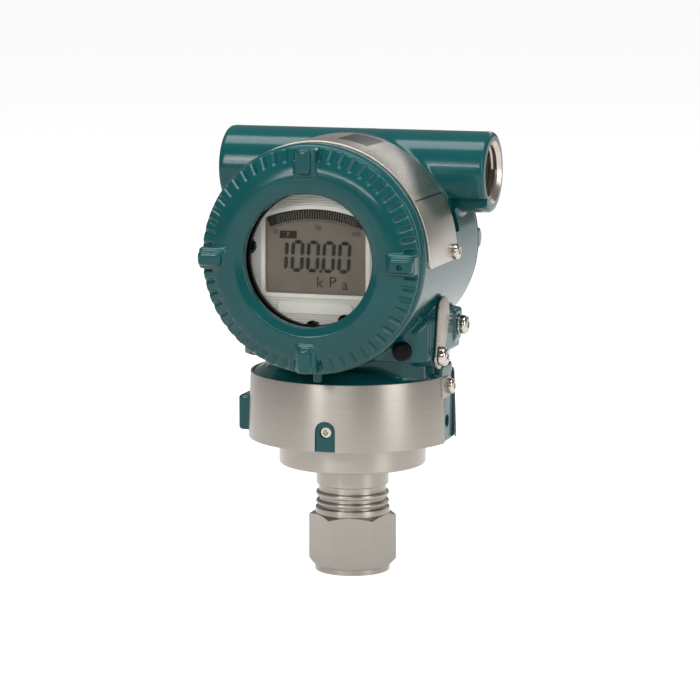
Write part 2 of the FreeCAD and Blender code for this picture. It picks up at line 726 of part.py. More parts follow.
def left_pad():
    """Raised bracket pad on the ring's left side."""
    outline = rounded_box(LEFT_PAD_HALF, LEFT_PAD_HEIGHT / 2, PAD_ROUNDING)
    pad = plate(outline, 0, LEFT_PAD_X - PAD_ROOT_X)
    return to_left(pad, -PAD_ROOT_X, 0, RING_Z + LEFT_PAD_UP + LEFT_PAD_HEIGHT / 2)


def earth_boss():
    """Block on the right side that carries the earthing screw."""
    centre_y = EARTH_BOSS_WIDTH / 2 - EARTH_BOSS_FRONT
    centre_z = EARTH_BOSS_BOTTOM_Z + EARTH_BOSS_HEIGHT / 2
    outline = rounded_box(EARTH_BOSS_WIDTH / 2, EARTH_BOSS_HEIGHT / 2, PAD_ROUNDING)
    boss = plate(outline, -EARTH_BOSS_DEPTH, 0)
    return to_right(boss, EARTH_BOSS_X, centre_y, centre_z)


def barrel():
    """Barrel with a threaded spigot and an O-ring groove at each end."""
    groove_floor = SPIGOT_RADIUS - O_RING_SECTION - O_RING_SLACK
    groove_width = O_RING_SECTION + 2 * O_RING_SLACK
    groove_front = BARREL_FRONT + O_RING_GROOVE_OFFSET
    groove_rear = BARREL_REAR + O_RING_GROOVE_OFFSET
    return to_front(turned([
        (0, -BARREL_REAR - SPIGOT_LENGTH, 0),
        (SPIGOT_RADIUS, -BARREL_REAR - SPIGOT_LENGTH, 0),
        (SPIGOT_RADIUS, -groove_rear - groove_width, 0),
        (groove_floor, -groove_rear - groove_width, 0),
        (groove_floor, -groove_rear, 0),
        (SPIGOT_RADIUS, -groove_rear, 0),
        (SPIGOT_RADIUS, -BARREL_REAR, 0),
        (BARREL_RADIUS, -BARREL_REAR, BARREL_EDGE),
        (BARREL_RADIUS, BARREL_FRONT, BARREL_EDGE),
        (SPIGOT_RADIUS, BARREL_FRONT, 0),
        (SPIGOT_RADIUS, groove_front, 0),
        (groove_floor, groove_front, 0),
        (groove_floor, groove_front + groove_width, 0),
        (SPIGOT_RADIUS, groove_front + groove_width, 0),
        (SPIGOT_RADIUS, BARREL_FRONT + SPIGOT_LENGTH, 0),
        (0, BARREL_FRONT + SPIGOT_LENGTH, 0),
    ]))


def conduit_tube():
    """Round tube along X with softly rounded ends."""
    tube = turned([
        (0, -TUBE_HALF_LENGTH, 0),
        (TUBE_RADIUS, -TUBE_HALF_LENGTH, TUBE_ROUNDING),
        (TUBE_RADIUS, TUBE_HALF_LENGTH, TUBE_ROUNDING),
        (0, TUBE_HALF_LENGTH, 0),
    ], round_off=True)
    return to_right(tube, 0, TUBE_AXIS_REAR, TUBE_AXIS_Z)


def conduit_entry():
    """Threaded entry, its countersunk mouth and the cable way into the rear compartment."""
    return turned([
        (0, -TUBE_HALF_LENGTH + CABLE_WAY_END_X, 0),
        (CABLE_WAY_RADIUS, -TUBE_HALF_LENGTH + CABLE_WAY_END_X, 0),
        (CABLE_WAY_RADIUS, -ENTRY_DEPTH, 0),
        (ENTRY_RADIUS, -ENTRY_DEPTH, 0),
        (ENTRY_RADIUS, -ENTRY_CHAMFER, 0),
        (ENTRY_RADIUS + ENTRY_CHAMFER, 0, 0),
        (0, 0, 0),
    ])


def set_screw_hole():
    """Radial hole through the ring wall at its front."""
    return disc(SET_SCREW_RADIUS + SCREW_HOLE_SLACK, RING_BORE - CUT_PAST, RING_BOTTOM_RADIUS + CUT_PAST)


def around_ring(shape, angle, z):
    """Puts a shape built on Z on a radius of the ring, at an angle from the front."""
    turn = math.radians(angle)
    outward = Vec(math.sin(turn), -math.cos(turn), 0)
    return faced(shape, Vec(0, 0, z), Z_AXIS, outward)


def housing_holes():
    """Everything that is cut out of the casting."""
    front_room = to_front(disc(COMPARTMENT_RADIUS, FRONT_FLOOR, BARREL_FRONT + SPIGOT_LENGTH))
    rear_room = to_rear(disc(COMPARTMENT_RADIUS, REAR_FLOOR, BARREL_REAR + SPIGOT_LENGTH))
    feed_hole = to_front(disc(FEEDTHROUGH_RADIUS + SEAT_SLACK, -REAR_FLOOR, FRONT_FLOOR))
    holes = [
        front_room,
        rear_room,
        feed_hole,
        disc(RING_BORE, RING_Z, RING_CEILING_Z),
        disc(LEAD_ROOM_RADIUS, RING_CEILING_Z, LEAD_ROOM_TOP_Z),
        disc(DUCT_RADIUS, RING_TOP_Z, BARREL_AXIS_Z - COMPARTMENT_RADIUS / 2, 0, -DUCT_FORWARD),
        to_right(conduit_entry(), TUBE_HALF_LENGTH, TUBE_AXIS_REAR, TUBE_AXIS_Z),
        to_left(conduit_entry(), -TUBE_HALF_LENGTH, TUBE_AXIS_REAR, TUBE_AXIS_Z),
    ]
    for angle in (SET_SCREW_ANGLE, SET_SCREW_ANGLE + 180):
        holes.append(around_ring(set_screw_hole(), angle, SET_SCREW_Z))
    bracket_hole = disc(BRACKET_HOLE_RADIUS, -BRACKET_HOLE_DEPTH, 0)
    holes.append(to_right(bracket_hole, RIGHT_PAD_X, 0, BRACKET_HOLE_Z))
    holes.append(to_left(bracket_hole, -LEFT_PAD_X, 0, BRACKET_HOLE_Z))
    m4_hole = screw_hole(M4_SHANK, M4_LENGTH)
    m5_hole = screw_hole(M5_SHANK, M5_LENGTH)
    tab_depth = TAB_SLACK + BAND_THICKNESS
    holes.append(to_right(m4_hole, RIGHT_PAD_X + tab_depth, 0, TAB_SCREW_Z))
    plate_x = BARREL_RADIUS + NAMEPLATE_SLACK + NAMEPLATE_THICKNESS
    holes.append(to_right(m4_hole, plate_x, -NAMEPLATE_SCREW_FORWARD, BARREL_AXIS_Z))
    holes.append(to_left(m4_hole, -plate_x, -NAMEPLATE_SCREW_FORWARD, BARREL_AXIS_Z))
    holes.append(earth_placed(m5_hole, WASHER_THICKNESS))
    holes.append(to_right(m5_hole, FLAP_SCREW_X, -FLAP_PIVOT_FORWARD, FLAP_PIVOT_Z))
    zero_room = turned([
        (0, -ZERO_HEAD_HEIGHT - ZERO_HEAD_SINK - ZERO_SHANK_LENGTH - TURN_CLEARANCE, 0),
        (ZERO_SHANK_RADIUS + TURN_CLEARANCE,
         -ZERO_HEAD_HEIGHT - ZERO_HEAD_SINK - ZERO_SHANK_LENGTH - TURN_CLEARANCE, 0),
        (ZERO_SHANK_RADIUS + TURN_CLEARANCE, -ZERO_HEAD_HEIGHT - ZERO_HEAD_SINK - TURN_CLEARANCE, 0),
        (ZERO_HEAD_RADIUS + TURN_CLEARANCE, -ZERO_HEAD_HEIGHT - ZERO_HEAD_SINK - TURN_CLEARANCE, 0),
        (ZERO_HEAD_RADIUS + TURN_CLEARANCE, 0, 0),
        (0, 0, 0),
    ])
    holes.append(to_right(zero_room, BLOCK_RIGHT, ZERO_BACK, ZERO_Z))
    pocket = box(POCKET_FLOOR_X, BARREL_RADIUS + CUT_PAST, -POCKET_FRONT, POCKET_WIDTH - POCKET_FRONT,
                 BARREL_AXIS_Z + POCKET_UP, BARREL_AXIS_Z + POCKET_UP + POCKET_HEIGHT)
    holes.append(pocket)
    plug_hole = disc(PLUG_SHANK_RADIUS + SCREW_HOLE_SLACK, -PLUG_DEPTH - SCREW_HOLE_SLACK, CUT_PAST)
    holes.append(faced(plug_hole, Vec(PLUG_X, -BLOCK_FRONT, PLUG_Z), X_AXIS, -Y_AXIS))
    lock_hole = disc(LOCK_BOLT_RADIUS + SCREW_HOLE_SLACK, BARREL_RADIUS - LOCK_BOLT_DEPTH,
                     BARREL_RADIUS + CUT_PAST)
    holes.extend(under_barrel(lock_hole))
    holes.append(on_rear_floor(screw_hole(M4_SHANK, M4_LENGTH)))
    return holes


def under_barrel(shape):
    """Copies of a shape built on Z, one at each lock bolt's place, on a radius under the barrel."""
    copies = []
    for y, angle in (
        (LOCK_BOLT_INSET_FRONT - BARREL_FRONT, FRONT_LOCK_BOLT_ANGLE),
        (BARREL_REAR - LOCK_BOLT_INSET_REAR, REAR_LOCK_BOLT_ANGLE),
    ):
        turn = math.radians(angle)
        outward = Vec(math.sin(turn), 0, -math.cos(turn))
        copies.append(faced(shape, Vec(0, y, BARREL_AXIS_Z), Y_AXIS, outward))
    return copies


def amplifier_housing():
    """The whole casting: ring, waist, block, barrel, conduit tube, pads and boss."""
    core = faceted(BLOCK_FRONT, BLOCK_REAR, CORE_RIGHT, BLOCK_LEFT, BLOCK_FACET,
                   BLOCK_ROUNDING, BLOCK_REAR_ROUNDING, BLOCK_BOTTOM_Z, BARREL_AXIS_Z)
    waist = faceted(WAIST_FRONT, WAIST_REAR, WAIST_RIGHT, WAIST_LEFT, WAIST_FACET,
                    WAIST_ROUNDING, WAIST_REAR_ROUNDING, RING_TOP_Z - CAST_OVERLAP,
                    BLOCK_BOTTOM_Z + CAST_OVERLAP)
    casting = ring_body().fuse([
        waist, core, shelf(), barrel(), conduit_tube(), right_pad(), left_pad(), earth_boss(),
        flap_boss(),
    ])
    return casting.removeSplitter().cut(housing_holes())


def base_band():
    """Band round the ring with gaps at the pads, an arched notch and a screwed tab."""
    inner_low = RING_BOTTOM_RADIUS + RING_SLOPE * BAND_MARGIN + BAND_SLACK
    inner_high = RING_TOP_RADIUS - RING_SLOPE * BAND_MARGIN + BAND_SLACK
    low = RING_Z + BAND_MARGIN
    high = RING_TOP_Z - BAND_MARGIN
    strip = turned([
        (inner_low, low, 0),
        (inner_low + BAND_THICKNESS, low, 0),
        (inner_high + BAND_THICKNESS, high, 0),
        (inner_high, high, 0),
    ])
    reach = RING_BOTTOM_RADIUS + 2 * BAND_THICKNESS
    right_gap = box(0, reach, -RIGHT_PAD_HALF - BAND_MARGIN, RIGHT_PAD_HALF + BAND_MARGIN,
                    RING_Z, RING_TOP_Z)
    pad_low = RING_Z + LEFT_PAD_UP - BAND_MARGIN
    left_gap = box(-reach, 0, -LEFT_PAD_HALF - BAND_MARGIN, LEFT_PAD_HALF + BAND_MARGIN,
                   pad_low, pad_low + LEFT_PAD_HEIGHT + 2 * BAND_MARGIN)
    arch = plate([
        (RING_Z - CUT_PAST - SET_SCREW_Z, -NOTCH_HALF_WIDTH, 0),
        (RING_Z + NOTCH_HEIGHT - SET_SCREW_Z, -NOTCH_HALF_WIDTH, NOTCH_HALF_WIDTH * NEARLY_ROUND),
        (RING_Z + NOTCH_HEIGHT - SET_SCREW_Z, NOTCH_HALF_WIDTH, NOTCH_HALF_WIDTH * NEARLY_ROUND),
        (RING_Z - CUT_PAST - SET_SCREW_Z, NOTCH_HALF_WIDTH, 0),
    ], RING_BORE, reach)
    cuts = [right_gap, left_gap]
    for angle in (SET_SCREW_ANGLE, SET_SCREW_ANGLE + 180):
        cuts.append(around_ring(arch, angle, SET_SCREW_Z))
    strip = strip.cut(cuts)
    tab_x = RIGHT_PAD_X + TAB_SLACK
    tab_start = -RIGHT_PAD_HALF - 2 * BAND_MARGIN - BAND_THICKNESS
    tab = plate([
        (tab_start, -TAB_RADIUS, 0),
        (TAB_RADIUS, -TAB_RADIUS, TAB_RADIUS * NEARLY_ROUND),
        (TAB_RADIUS, TAB_RADIUS, TAB_RADIUS * NEARLY_ROUND),
        (tab_start, TAB_RADIUS, 0),
    ], 0, BAND_THICKNESS)
    hole = disc(M4_SHANK + SCREW_HOLE_SLACK, 0, BAND_THICKNESS)
    tab = to_right(tab.cut(hole), tab_x, 0, TAB_SCREW_Z)
    ring_here = turned([
        (0, low, 0),
        (inner_low, low, 0),
        (inner_high, high, 0),
        (0, high, 0),
    ])
    pad_side = box(0, reach, -reach, -RIGHT_PAD_HALF, RING_Z, RING_TOP_Z)
    tab = tab.cut(ring_here.common(pad_side))
    return strip.fuse(tab).removeSplitter()


def band_screws():
    """Screw of the band's tab."""
    return to_right(m4_screw(), RIGHT_PAD_X + TAB_SLACK + BAND_THICKNESS, 0, TAB_SCREW_Z)


def swivel_set_screws():
    """Socket set screws whose tips stand in the flange's lock groove."""
    tip = FLANGE_RADIUS - LOCK_GROOVE_DEPTH + SWIVEL_CLEARANCE
    end = RING_BOTTOM_RADIUS - SET_SCREW_RECESS
    socket_depth = SET_SCREW_RADIUS
    screw = turned([
        (0, tip, 0),
        (SET_SCREW_RADIUS - SET_SCREW_POINT, tip, 0),
        (SET_SCREW_RADIUS, tip + SET_SCREW_POINT, 0),
        (SET_SCREW_RADIUS, end, EDGE_BREAK),
        (0, end, 0),
    ])
    points = []
    for i in range(6):
        angle = math.radians(60 * i)
        points.append((SET_SCREW_SOCKET * math.cos(angle), SET_SCREW_SOCKET * math.sin(angle), 0))
    screw = screw.cut(plate(points, end - socket_depth, end))
    pair = []
    for angle in (SET_SCREW_ANGLE, SET_SCREW_ANGLE + 180):
        pair.append(around_ring(screw, angle, SET_SCREW_Z))
    return Part.makeCompound(pair)


def lug(rim):
    """One two-step turning lug at the top of a cover, built on Z with the cover's rear edge at 0."""
    outer = rim - LUG_OUTER_INSET
    inner = rim - COVER_STEP - COVER_SHOULDER_RUN - LUG_INWARD
    steps = [
        lug_step(rim, LUG_WIDTH / 2, inner, outer, LUG_PROUD),
        lug_step(rim, LUG_WIDTH / 2 + LUG_PAD_EXTRA, inner - LUG_PAD_INNER_EXTRA,
                 outer + LUG_PAD_OUTER_EXTRA, LUG_PAD_PROUD),
    ]
    return steps[0].fuse(steps[1])


def lug_step(rim, half, inner, outer, proud):
    """One step of a lug, rooted in the wall of the cone under it."""
    top = COVER_DEPTH + proud
    floor_z = COVER_FLOOR + LUG_ROOT
    cone_radius = rim - COVER_STEP
    outer_z = COVER_CONE_Z + (cone_radius - outer) / COVER_CONE_DRAW - LUG_ROOT
    knee = cone_radius - COVER_CONE_DRAW * (floor_z + LUG_ROOT - COVER_CONE_Z)
    side = outline_face([
        (inner, floor_z, 0),
        (knee, floor_z, 0),
        (outer, outer_z, 0),
        (outer, top, LUG_ROUNDING),
        (inner, top, LUG_ROUNDING),
    ])
    side.rotate(Vec(0, 0, 0), X_AXIS, 90)
    side.rotate(Vec(0, 0, 0), Z_AXIS, 90)
    side.translate(Vec(-half, 0, 0))
    outline = plate([
        (-half, inner, LUG_INNER_ROUNDING),
        (half, inner, LUG_INNER_ROUNDING),
        (half, outer, LUG_ROUNDING),
        (-half, outer, LUG_ROUNDING),
    ], 0, top)
    return side.extrude(Vec(2 * half, 0, 0)).common(outline)


def cover_grooves(rim):
    """Narrow grooves down the conical shoulder, between the lugs, open at its outer wall."""
    tilt = math.degrees(math.atan(COVER_CONE_DRAW))
    half = GROOVE_WIDTH / 2
    end = COVER_CONE_SLANT - GROOVE_INNER_MARGIN
    cutter = plate([
        (-half, -CUT_PAST, 0),
        (half, -CUT_PAST, 0),
        (half, end - half, 0),
        (0, end, 0),
        (-half, end - half, 0),
    ], -GROOVE_DEPTH, GROOVE_DEPTH)
    cone_foot = Vec(0, rim - COVER_STEP, COVER_CONE_Z)
    cutter = faced(cutter, cone_foot, -X_AXIS, Y_AXIS)
    cutter.rotate(cone_foot, X_AXIS, tilt)
    pitch = 90.0 / (GROOVES_PER_QUARTER + 1)
    grooves = []
    for quarter in range(4):
        for i in range(GROOVES_PER_QUARTER):
            groove = cutter.copy()
            groove.rotate(Vec(0, 0, 0), Z_AXIS, 90 * quarter + pitch * (i + 1))
            grooves.append(groove)
    return grooves


def cover_shell(rim, glazed):
    """Screw cover on Z with its rear edge at height 0; glazed ones have a window and a glass seat."""
    outer = [
        (COVER_BORE, 0, 0),
        (rim - COVER_EDGE, 0, 0),
        (rim, COVER_EDGE, 0),
        (rim - COVER_RIM_DRAFT, COVER_RIM_HEIGHT, 0),
        (rim - COVER_STEP, COVER_STEP_Z, 0),
        (rim - COVER_STEP, COVER_CONE_Z, 0),
        (rim - COVER_STEP - COVER_SHOULDER_RUN, COVER_DEPTH, COVER_SHOULDER_ROUNDING),
    ]
    if glazed:
        face = [
            (CREASE_RADIUS, COVER_DEPTH, 0),
            (WINDOW_RADIUS, COVER_DEPTH - WINDOW_BEVEL, 0),
            (WINDOW_RADIUS, COVER_FLOOR, 0),
            (GLASS_RADIUS + GLASS_SLACK, COVER_FLOOR, 0),
            (GLASS_RADIUS + GLASS_SLACK, GLASS_BOTTOM, 0),
            (GLASS_COLLAR_RADIUS, GLASS_BOTTOM, 0),
            (GLASS_COLLAR_RADIUS, COVER_FLOOR, 0),
        ]
    else:
        face = [
            (0, COVER_DEPTH, 0),
            (0, COVER_FLOOR, 0),
        ]
    inner = [
        (COVER_BORE - COVER_FLOOR_INSET, COVER_FLOOR, 0),
        (COVER_BORE, COVER_BORE_DEPTH, 0),
    ]
    shell = turned(outer + face + inner, round_off=True)
    shell = shell.cut(cover_grooves(rim))
    lugs = []
    for i in range(4):
        piece = lug(rim)
        piece.rotate(Vec(0, 0, 0), Z_AXIS, 90 * i)
        lugs.append(piece)
    return shell.fuse(lugs)


def on_front_cover(shape):
    """Moves a piece from the cover's own heights to its place in front of the barrel."""
    copy = shape.copy()
    copy.translate(Vec(0, 0, BARREL_FRONT + COVER_GAP))
    return to_front(copy)


def display_cover():
    return on_front_cover(cover_shell(DISPLAY_COVER_RADIUS, True))


def window_gasket():
    return on_front_cover(ring(GLASS_RADIUS, WINDOW_RADIUS, GLASS_TOP, COVER_FLOOR))


def window_glass():
    return on_front_cover(disc(GLASS_RADIUS, GLASS_BOTTOM, GLASS_TOP))


def window_retainer():
    """Flat ring on the glass collar that holds the glass from behind."""
    outer = GLASS_COLLAR_RADIUS - RETAINER_EDGE
    return on_front_cover(ring(outer, WINDOW_RADIUS, GLASS_BOTTOM - RETAINER_THICKNESS, GLASS_BOTTOM))


def terminal_cover():
    shell = cover_shell(TERMINAL_COVER_RADIUS, False)
    shell.translate(Vec(0, 0, BARREL_REAR + COVER_GAP))
    return to_rear(shell)


def cover_o_ring(shoulder):
    """O-ring in a spigot's groove, on Z."""
    radius = SPIGOT_RADIUS - O_RING_SECTION / 2
    centre = shoulder + O_RING_GROOVE_OFFSET + O_RING_SLACK + O_RING_SECTION / 2
    return seal(radius, O_RING_SECTION, centre)


def front_o_ring():
    return to_front(cover_o_ring(BARREL_FRONT))


def rear_o_ring():
    return to_rear(cover_o_ring(BARREL_REAR))


def around_module(angle):
    """Place of a screw or hole on the display module, at an angle from +X."""
    turn = math.radians(angle)
    circle = BEZEL_RADIUS - MODULE_SCREW_INSET
    return circle * math.cos(turn), circle * math.sin(turn)


def display_outline(margin):
    """Outline of the display opening with its arched top, grown by a margin."""
    half = DISPLAY_HALF_WIDTH + margin
    low = -DISPLAY_BOTTOM - margin
    side = DISPLAY_SIDE_TOP + margin
    top = DISPLAY_ARCH_TOP + margin
    right_low = Vec(half, low, 0)
    right_high = Vec(half, side, 0)
    left_high = Vec(-half, side, 0)
    left_low = Vec(-half, low, 0)
    return Part.Face(Part.Wire([
        Part.LineSegment(left_low, right_low).toShape(),
        Part.LineSegment(right_low, right_high).toShape(),
        Part.Arc(right_high, Vec(0, top, 0), left_high).toShape(),
        Part.LineSegment(left_high, left_low).toShape(),
    ]))


def indicator_bezel():
    """Moulded cap over the display, with its arched window, bare tablet and screw notches."""
    low = INDICATOR_BOARD_FRONT
    cap = disc(BEZEL_RADIUS, low, BEZEL_FRONT)
    hollow = disc(BEZEL_RADIUS - BEZEL_WALL, low, BEZEL_FRONT - BEZEL_FACE)
    window = display_outline(0).extrude(Vec(0, 0, BEZEL_FRONT))
    tablet = plate(rounded_box(TABLET_HALF_WIDTH, TABLET_HEIGHT / 2, TABLET_ROUNDING),
                   BEZEL_FRONT - TABLET_DEPTH, BEZEL_FRONT)
    tablet.translate(Vec(0, -TABLET_CENTRE_DOWN, 0))
    cuts = [hollow, window, tablet]
    for angle in MODULE_SCREW_ANGLES + (SETTING_HOLE_ANGLE,):
        x, y = around_module(angle)
        cuts.append(disc(NOTCH_HOLE_RADIUS, low, BEZEL_FRONT, x, y))
    return to_front(cap.cut(cuts))


def lcd_panel():
    """Glass display panel on the indicator board, just behind the bezel's window."""
    low = INDICATOR_BOARD_FRONT
    high = BEZEL_FRONT - BEZEL_FACE - PANEL_RECESS
    face = display_outline(PANEL_MARGIN)
    face.translate(Vec(0, 0, low))
    return to_front(face.extrude(Vec(0, 0, high - low)))


def indicator_board():
    low = INDICATOR_BOARD_FRONT - BOARD_THICKNESS
    board = disc(BEZEL_RADIUS, low, INDICATOR_BOARD_FRONT)
    holes = []
    for angle in MODULE_SCREW_ANGLES:
        x, y = around_module(angle)
        holes.append(disc(MODULE_SCREW_RADIUS + SCREW_HOLE_SLACK, low, INDICATOR_BOARD_FRONT, x, y))
    return to_front(board.cut(holes))


def indicator_spacers():
    """Posts between the amplifier board and the indicator board."""
    high = INDICATOR_BOARD_FRONT - BOARD_THICKNESS
    depth = M4_LENGTH - BOARD_THICKNESS + SCREW_HOLE_SLACK
    posts = []
    for angle in MODULE_SCREW_ANGLES:
        x, y = around_module(angle)
        post = disc(SPACER_RADIUS, AMPLIFIER_BOARD_FRONT, high, x, y)
        hole = disc(MODULE_SCREW_RADIUS + SCREW_HOLE_SLACK, high - depth, high, x, y)
        posts.append(to_front(post.cut(hole)))
    return Part.makeCompound(posts)


def indicator_screws():
    """Screws in the bezel's notches, through the indicator board into the posts."""
    screw = pan_screw(MODULE_SCREW_RADIUS, MODULE_SCREW_HEAD, MODULE_SCREW_HEAD_HEIGHT, M4_LENGTH)
    screws = []
    for angle in MODULE_SCREW_ANGLES:
        x, y = around_module(angle)
        piece = screw.copy()
        piece.translate(Vec(x, y, INDICATOR_BOARD_FRONT))
        screws.append(to_front(piece))
    return Part.makeCompound(screws)


def amplifier_board():
    low = AMPLIFIER_BOARD_FRONT - BOARD_THICKNESS
    return to_front(disc(AMPLIFIER_BOARD_RADIUS, low, AMPLIFIER_BOARD_FRONT))


def board_spacers():
    """Posts that carry the amplifier board on the compartment's floor."""
    high = AMPLIFIER_BOARD_FRONT - BOARD_THICKNESS
    posts = []
    for i in range(SPACER_COUNT):
        angle = math.radians(90 + 360.0 * i / SPACER_COUNT)
        x = SPACER_CIRCLE * math.cos(angle)
        y = SPACER_CIRCLE * math.sin(angle)
        posts.append(to_front(disc(SPACER_RADIUS, FRONT_FLOOR, high, x, y)))
    return Part.makeCompound(posts)


def board_connector():
    """Plug-in connector between the two boards."""
    high = INDICATOR_BOARD_FRONT - BOARD_THICKNESS
    outline = rounded_box(CONNECTOR_WIDTH / 2, CONNECTOR_DEPTH / 2, CONNECTOR_ROUNDING)
    body = plate(outline, AMPLIFIER_BOARD_FRONT, high)
    body.translate(Vec(0, CONNECTOR_UP, 0))
    return to_front(body)


def wall_feedthrough():
    """Sealed feed-through in the wall between the compartments."""
    flange_top = FRONT_FLOOR + FEEDTHROUGH_FLANGE_HEIGHT
    return to_front(turned([
        (0, -REAR_FLOOR, 0),
        (FEEDTHROUGH_RADIUS, -REAR_FLOOR, 0),
        (FEEDTHROUGH_RADIUS, FRONT_FLOOR, 0),
        (FEEDTHROUGH_FLANGE, FRONT_FLOOR, 0),
        (FEEDTHROUGH_FLANGE, flange_top, EDGE_BREAK),
        (0, flange_top, 0),
    ]))


def terminal_places():
    """Centres of the terminal screws on the terminal block."""
    places = []
    for i in range(TERMINAL_FINS - 1):
        x = TERMINAL_PITCH * (i - (TERMINAL_FINS - 2) / 2)
        places.append((x, -TERMINAL_CENTRE_DOWN - TERMINAL_SCREW_DOWN))
    return places


def terminal_fixings():
    """Centres of the two screws that hold the terminal block."""
    x = TERMINAL_WIDTH / 2 - TERMINAL_FIX_INSET
    y = -TERMINAL_CENTRE_DOWN + TERMINAL_FIX_DOWN
    return [(-x, y), (x, y)]


def terminal_block():
    """Moulded block with barriers between its terminals."""
    low = REAR_FLOOR
    high = REAR_FLOOR + TERMINAL_THICKNESS
    body = plate(rounded_box(TERMINAL_WIDTH / 2, TERMINAL_HEIGHT / 2, TERMINAL_ROUNDING), low, high)
    body.translate(Vec(0, -TERMINAL_CENTRE_DOWN, 0))
    fins = []
    for i in range(TERMINAL_FINS):
        x = TERMINAL_PITCH * (i - (TERMINAL_FINS - 1) / 2)
        half = TERMINAL_FIN_THICKNESS / 2
        fins.append(box(x - half, x + half, -TERMINAL_CENTRE_DOWN - TERMINAL_HEIGHT / 2,
                        -TERMINAL_CENTRE_DOWN + TERMINAL_FIX_DOWN / 2, high, high + TERMINAL_FIN_HEIGHT))
    holes = []
    for x, y in terminal_places() + terminal_fixings():
        hole = screw_hole(M4_SHANK, M4_LENGTH)
        hole.translate(Vec(x, y, high))
        holes.append(hole)
    return to_rear(body.fuse(fins).removeSplitter().cut(holes))


def screws_on_terminals(places):
    """Pan-head screws seated on the terminal block at the given places."""
    screws = []
    for x, y in places:
        screw = m4_screw()
        screw.translate(Vec(x, y, REAR_FLOOR + TERMINAL_THICKNESS))
        screws.append(to_rear(screw))
    return Part.makeCompound(screws)


def terminal_screws():
    return screws_on_terminals(terminal_places())


def terminal_block_screws():
    return screws_on_terminals(terminal_fixings())


def on_rear_floor(shape):
    """Puts a shape built on Z at the inner earthing screw's place."""
    turn = math.radians(INNER_EARTH_ANGLE)
    circle = COMPARTMENT_RADIUS - INNER_EARTH_INSET
    copy = shape.copy()
    copy.translate(Vec(circle * math.cos(turn), circle * math.sin(turn), REAR_FLOOR))
    return to_rear(copy)


def inner_ground_screw():
    """Earthing screw on the floor of the rear compartment."""
    return on_rear_floor(m4_screw())


def nameplate():
    """Thin strip rolled over the top of the barrel, with rounded ends and a screw hole at each end."""
    inner = BARREL_RADIUS + NAMEPLATE_SLACK
    outer = inner + NAMEPLATE_THICKNESS
    profile = Part.Face(Part.makePolygon([
        Vec(inner, 0, NAMEPLATE_REAR),
        Vec(outer, 0, NAMEPLATE_REAR),
        Vec(outer, 0, NAMEPLATE_FRONT),
        Vec(inner, 0, NAMEPLATE_FRONT),
        Vec(inner, 0, NAMEPLATE_REAR),
    ]))
    profile.rotate(Vec(0, 0, 0), Z_AXIS, 90 - NAMEPLATE_HALF_ANGLE)
    strip = to_front(profile.revolve(Vec(0, 0, 0), Z_AXIS, 2 * NAMEPLATE_HALF_ANGLE))
    drop = outer * math.sin(math.radians(NAMEPLATE_HALF_ANGLE - 90))
    side = plate([
        (-NAMEPLATE_FRONT, -drop, NAMEPLATE_CORNER),
        (-NAMEPLATE_REAR, -drop, NAMEPLATE_CORNER),
        (-NAMEPLATE_REAR, outer, 0),
        (-NAMEPLATE_FRONT, outer, 0),
    ], -outer, outer)
    strip = strip.common(to_right(side, 0, 0, BARREL_AXIS_Z))
    hole = disc(M4_SHANK + SCREW_HOLE_SLACK, -2 * M4_HEAD, M4_HEAD)
    return strip.cut([
        to_right(hole, outer, -NAMEPLATE_SCREW_FORWARD, BARREL_AXIS_Z),
        to_left(hole, -outer, -NAMEPLATE_SCREW_FORWARD, BARREL_AXIS_Z),
    ])


def nameplate_screws():
    seat = BARREL_RADIUS + NAMEPLATE_SLACK + NAMEPLATE_THICKNESS
    return Part.makeCompound([
        to_right(m4_screw(), seat, -NAMEPLATE_SCREW_FORWARD, BARREL_AXIS_Z),
        to_left(m4_screw(), -seat, -NAMEPLATE_SCREW_FORWARD, BARREL_AXIS_Z),
    ])


def earth_placed(shape, lift):
    """Puts a shape built on Z on the earthing boss, lifted off its face."""
    y = EARTH_SCREW_BACK - EARTH_BOSS_FRONT
    z = EARTH_BOSS_BOTTOM_Z + EARTH_SCREW_UP
    return to_right(shape, EARTH_BOSS_X + lift, y, z)


def ground_washer():
    return earth_placed(ring(WASHER_RADIUS, M5_SHANK + SCREW_HOLE_SLACK, 0, WASHER_THICKNESS), 0)


def ground_screw():
    return earth_placed(m5_screw(), WASHER_THICKNESS)


def flap_outline(margin):
    """Face of the flap's tongue about its pivot, drawn in by a margin."""
    reach = math.hypot(FLAP_LOBE_BACK, FLAP_LOBE_UP)
    lean = math.atan2(FLAP_LOBE_BACK, FLAP_LOBE_UP)
    spread = math.asin((FLAP_LOBE_RADIUS - FLAP_PIVOT_RADIUS) / reach)

    def on_circle(centre_x, centre_y, radius, angle):
        return Vec(centre_x + radius * math.cos(angle), centre_y + radius * math.sin(angle), 0)

    right = -lean - spread
    left = math.pi - lean + spread
    top = math.pi / 2 - lean
    lobe = (FLAP_LOBE_BACK, FLAP_LOBE_UP, FLAP_LOBE_RADIUS - margin)
    foot = (0, 0, FLAP_PIVOT_RADIUS - margin)
    return Part.Face(Part.Wire([
        Part.Arc(on_circle(*lobe, right), on_circle(*lobe, top), on_circle(*lobe, left)).toShape(),
        Part.LineSegment(on_circle(*lobe, left), on_circle(*foot, left)).toShape(),
        Part.Arc(on_circle(*foot, left), on_circle(*foot, top + math.pi),
                 on_circle(*foot, right)).toShape(),
        Part.LineSegment(on_circle(*foot, right), on_circle(*lobe, right)).toShape(),
    ]))


def flap_boss():
    """Raised seat of the flap on the side of the block, reaching down past the block's bottom edge."""
    boss = flap_outline(FLAP_BOSS_MARGIN).extrude(Vec(0, 0, -FLAP_BOSS_DEPTH))
    return to_right(boss, BLOCK_RIGHT, -FLAP_PIVOT_FORWARD, FLAP_PIVOT_Z)


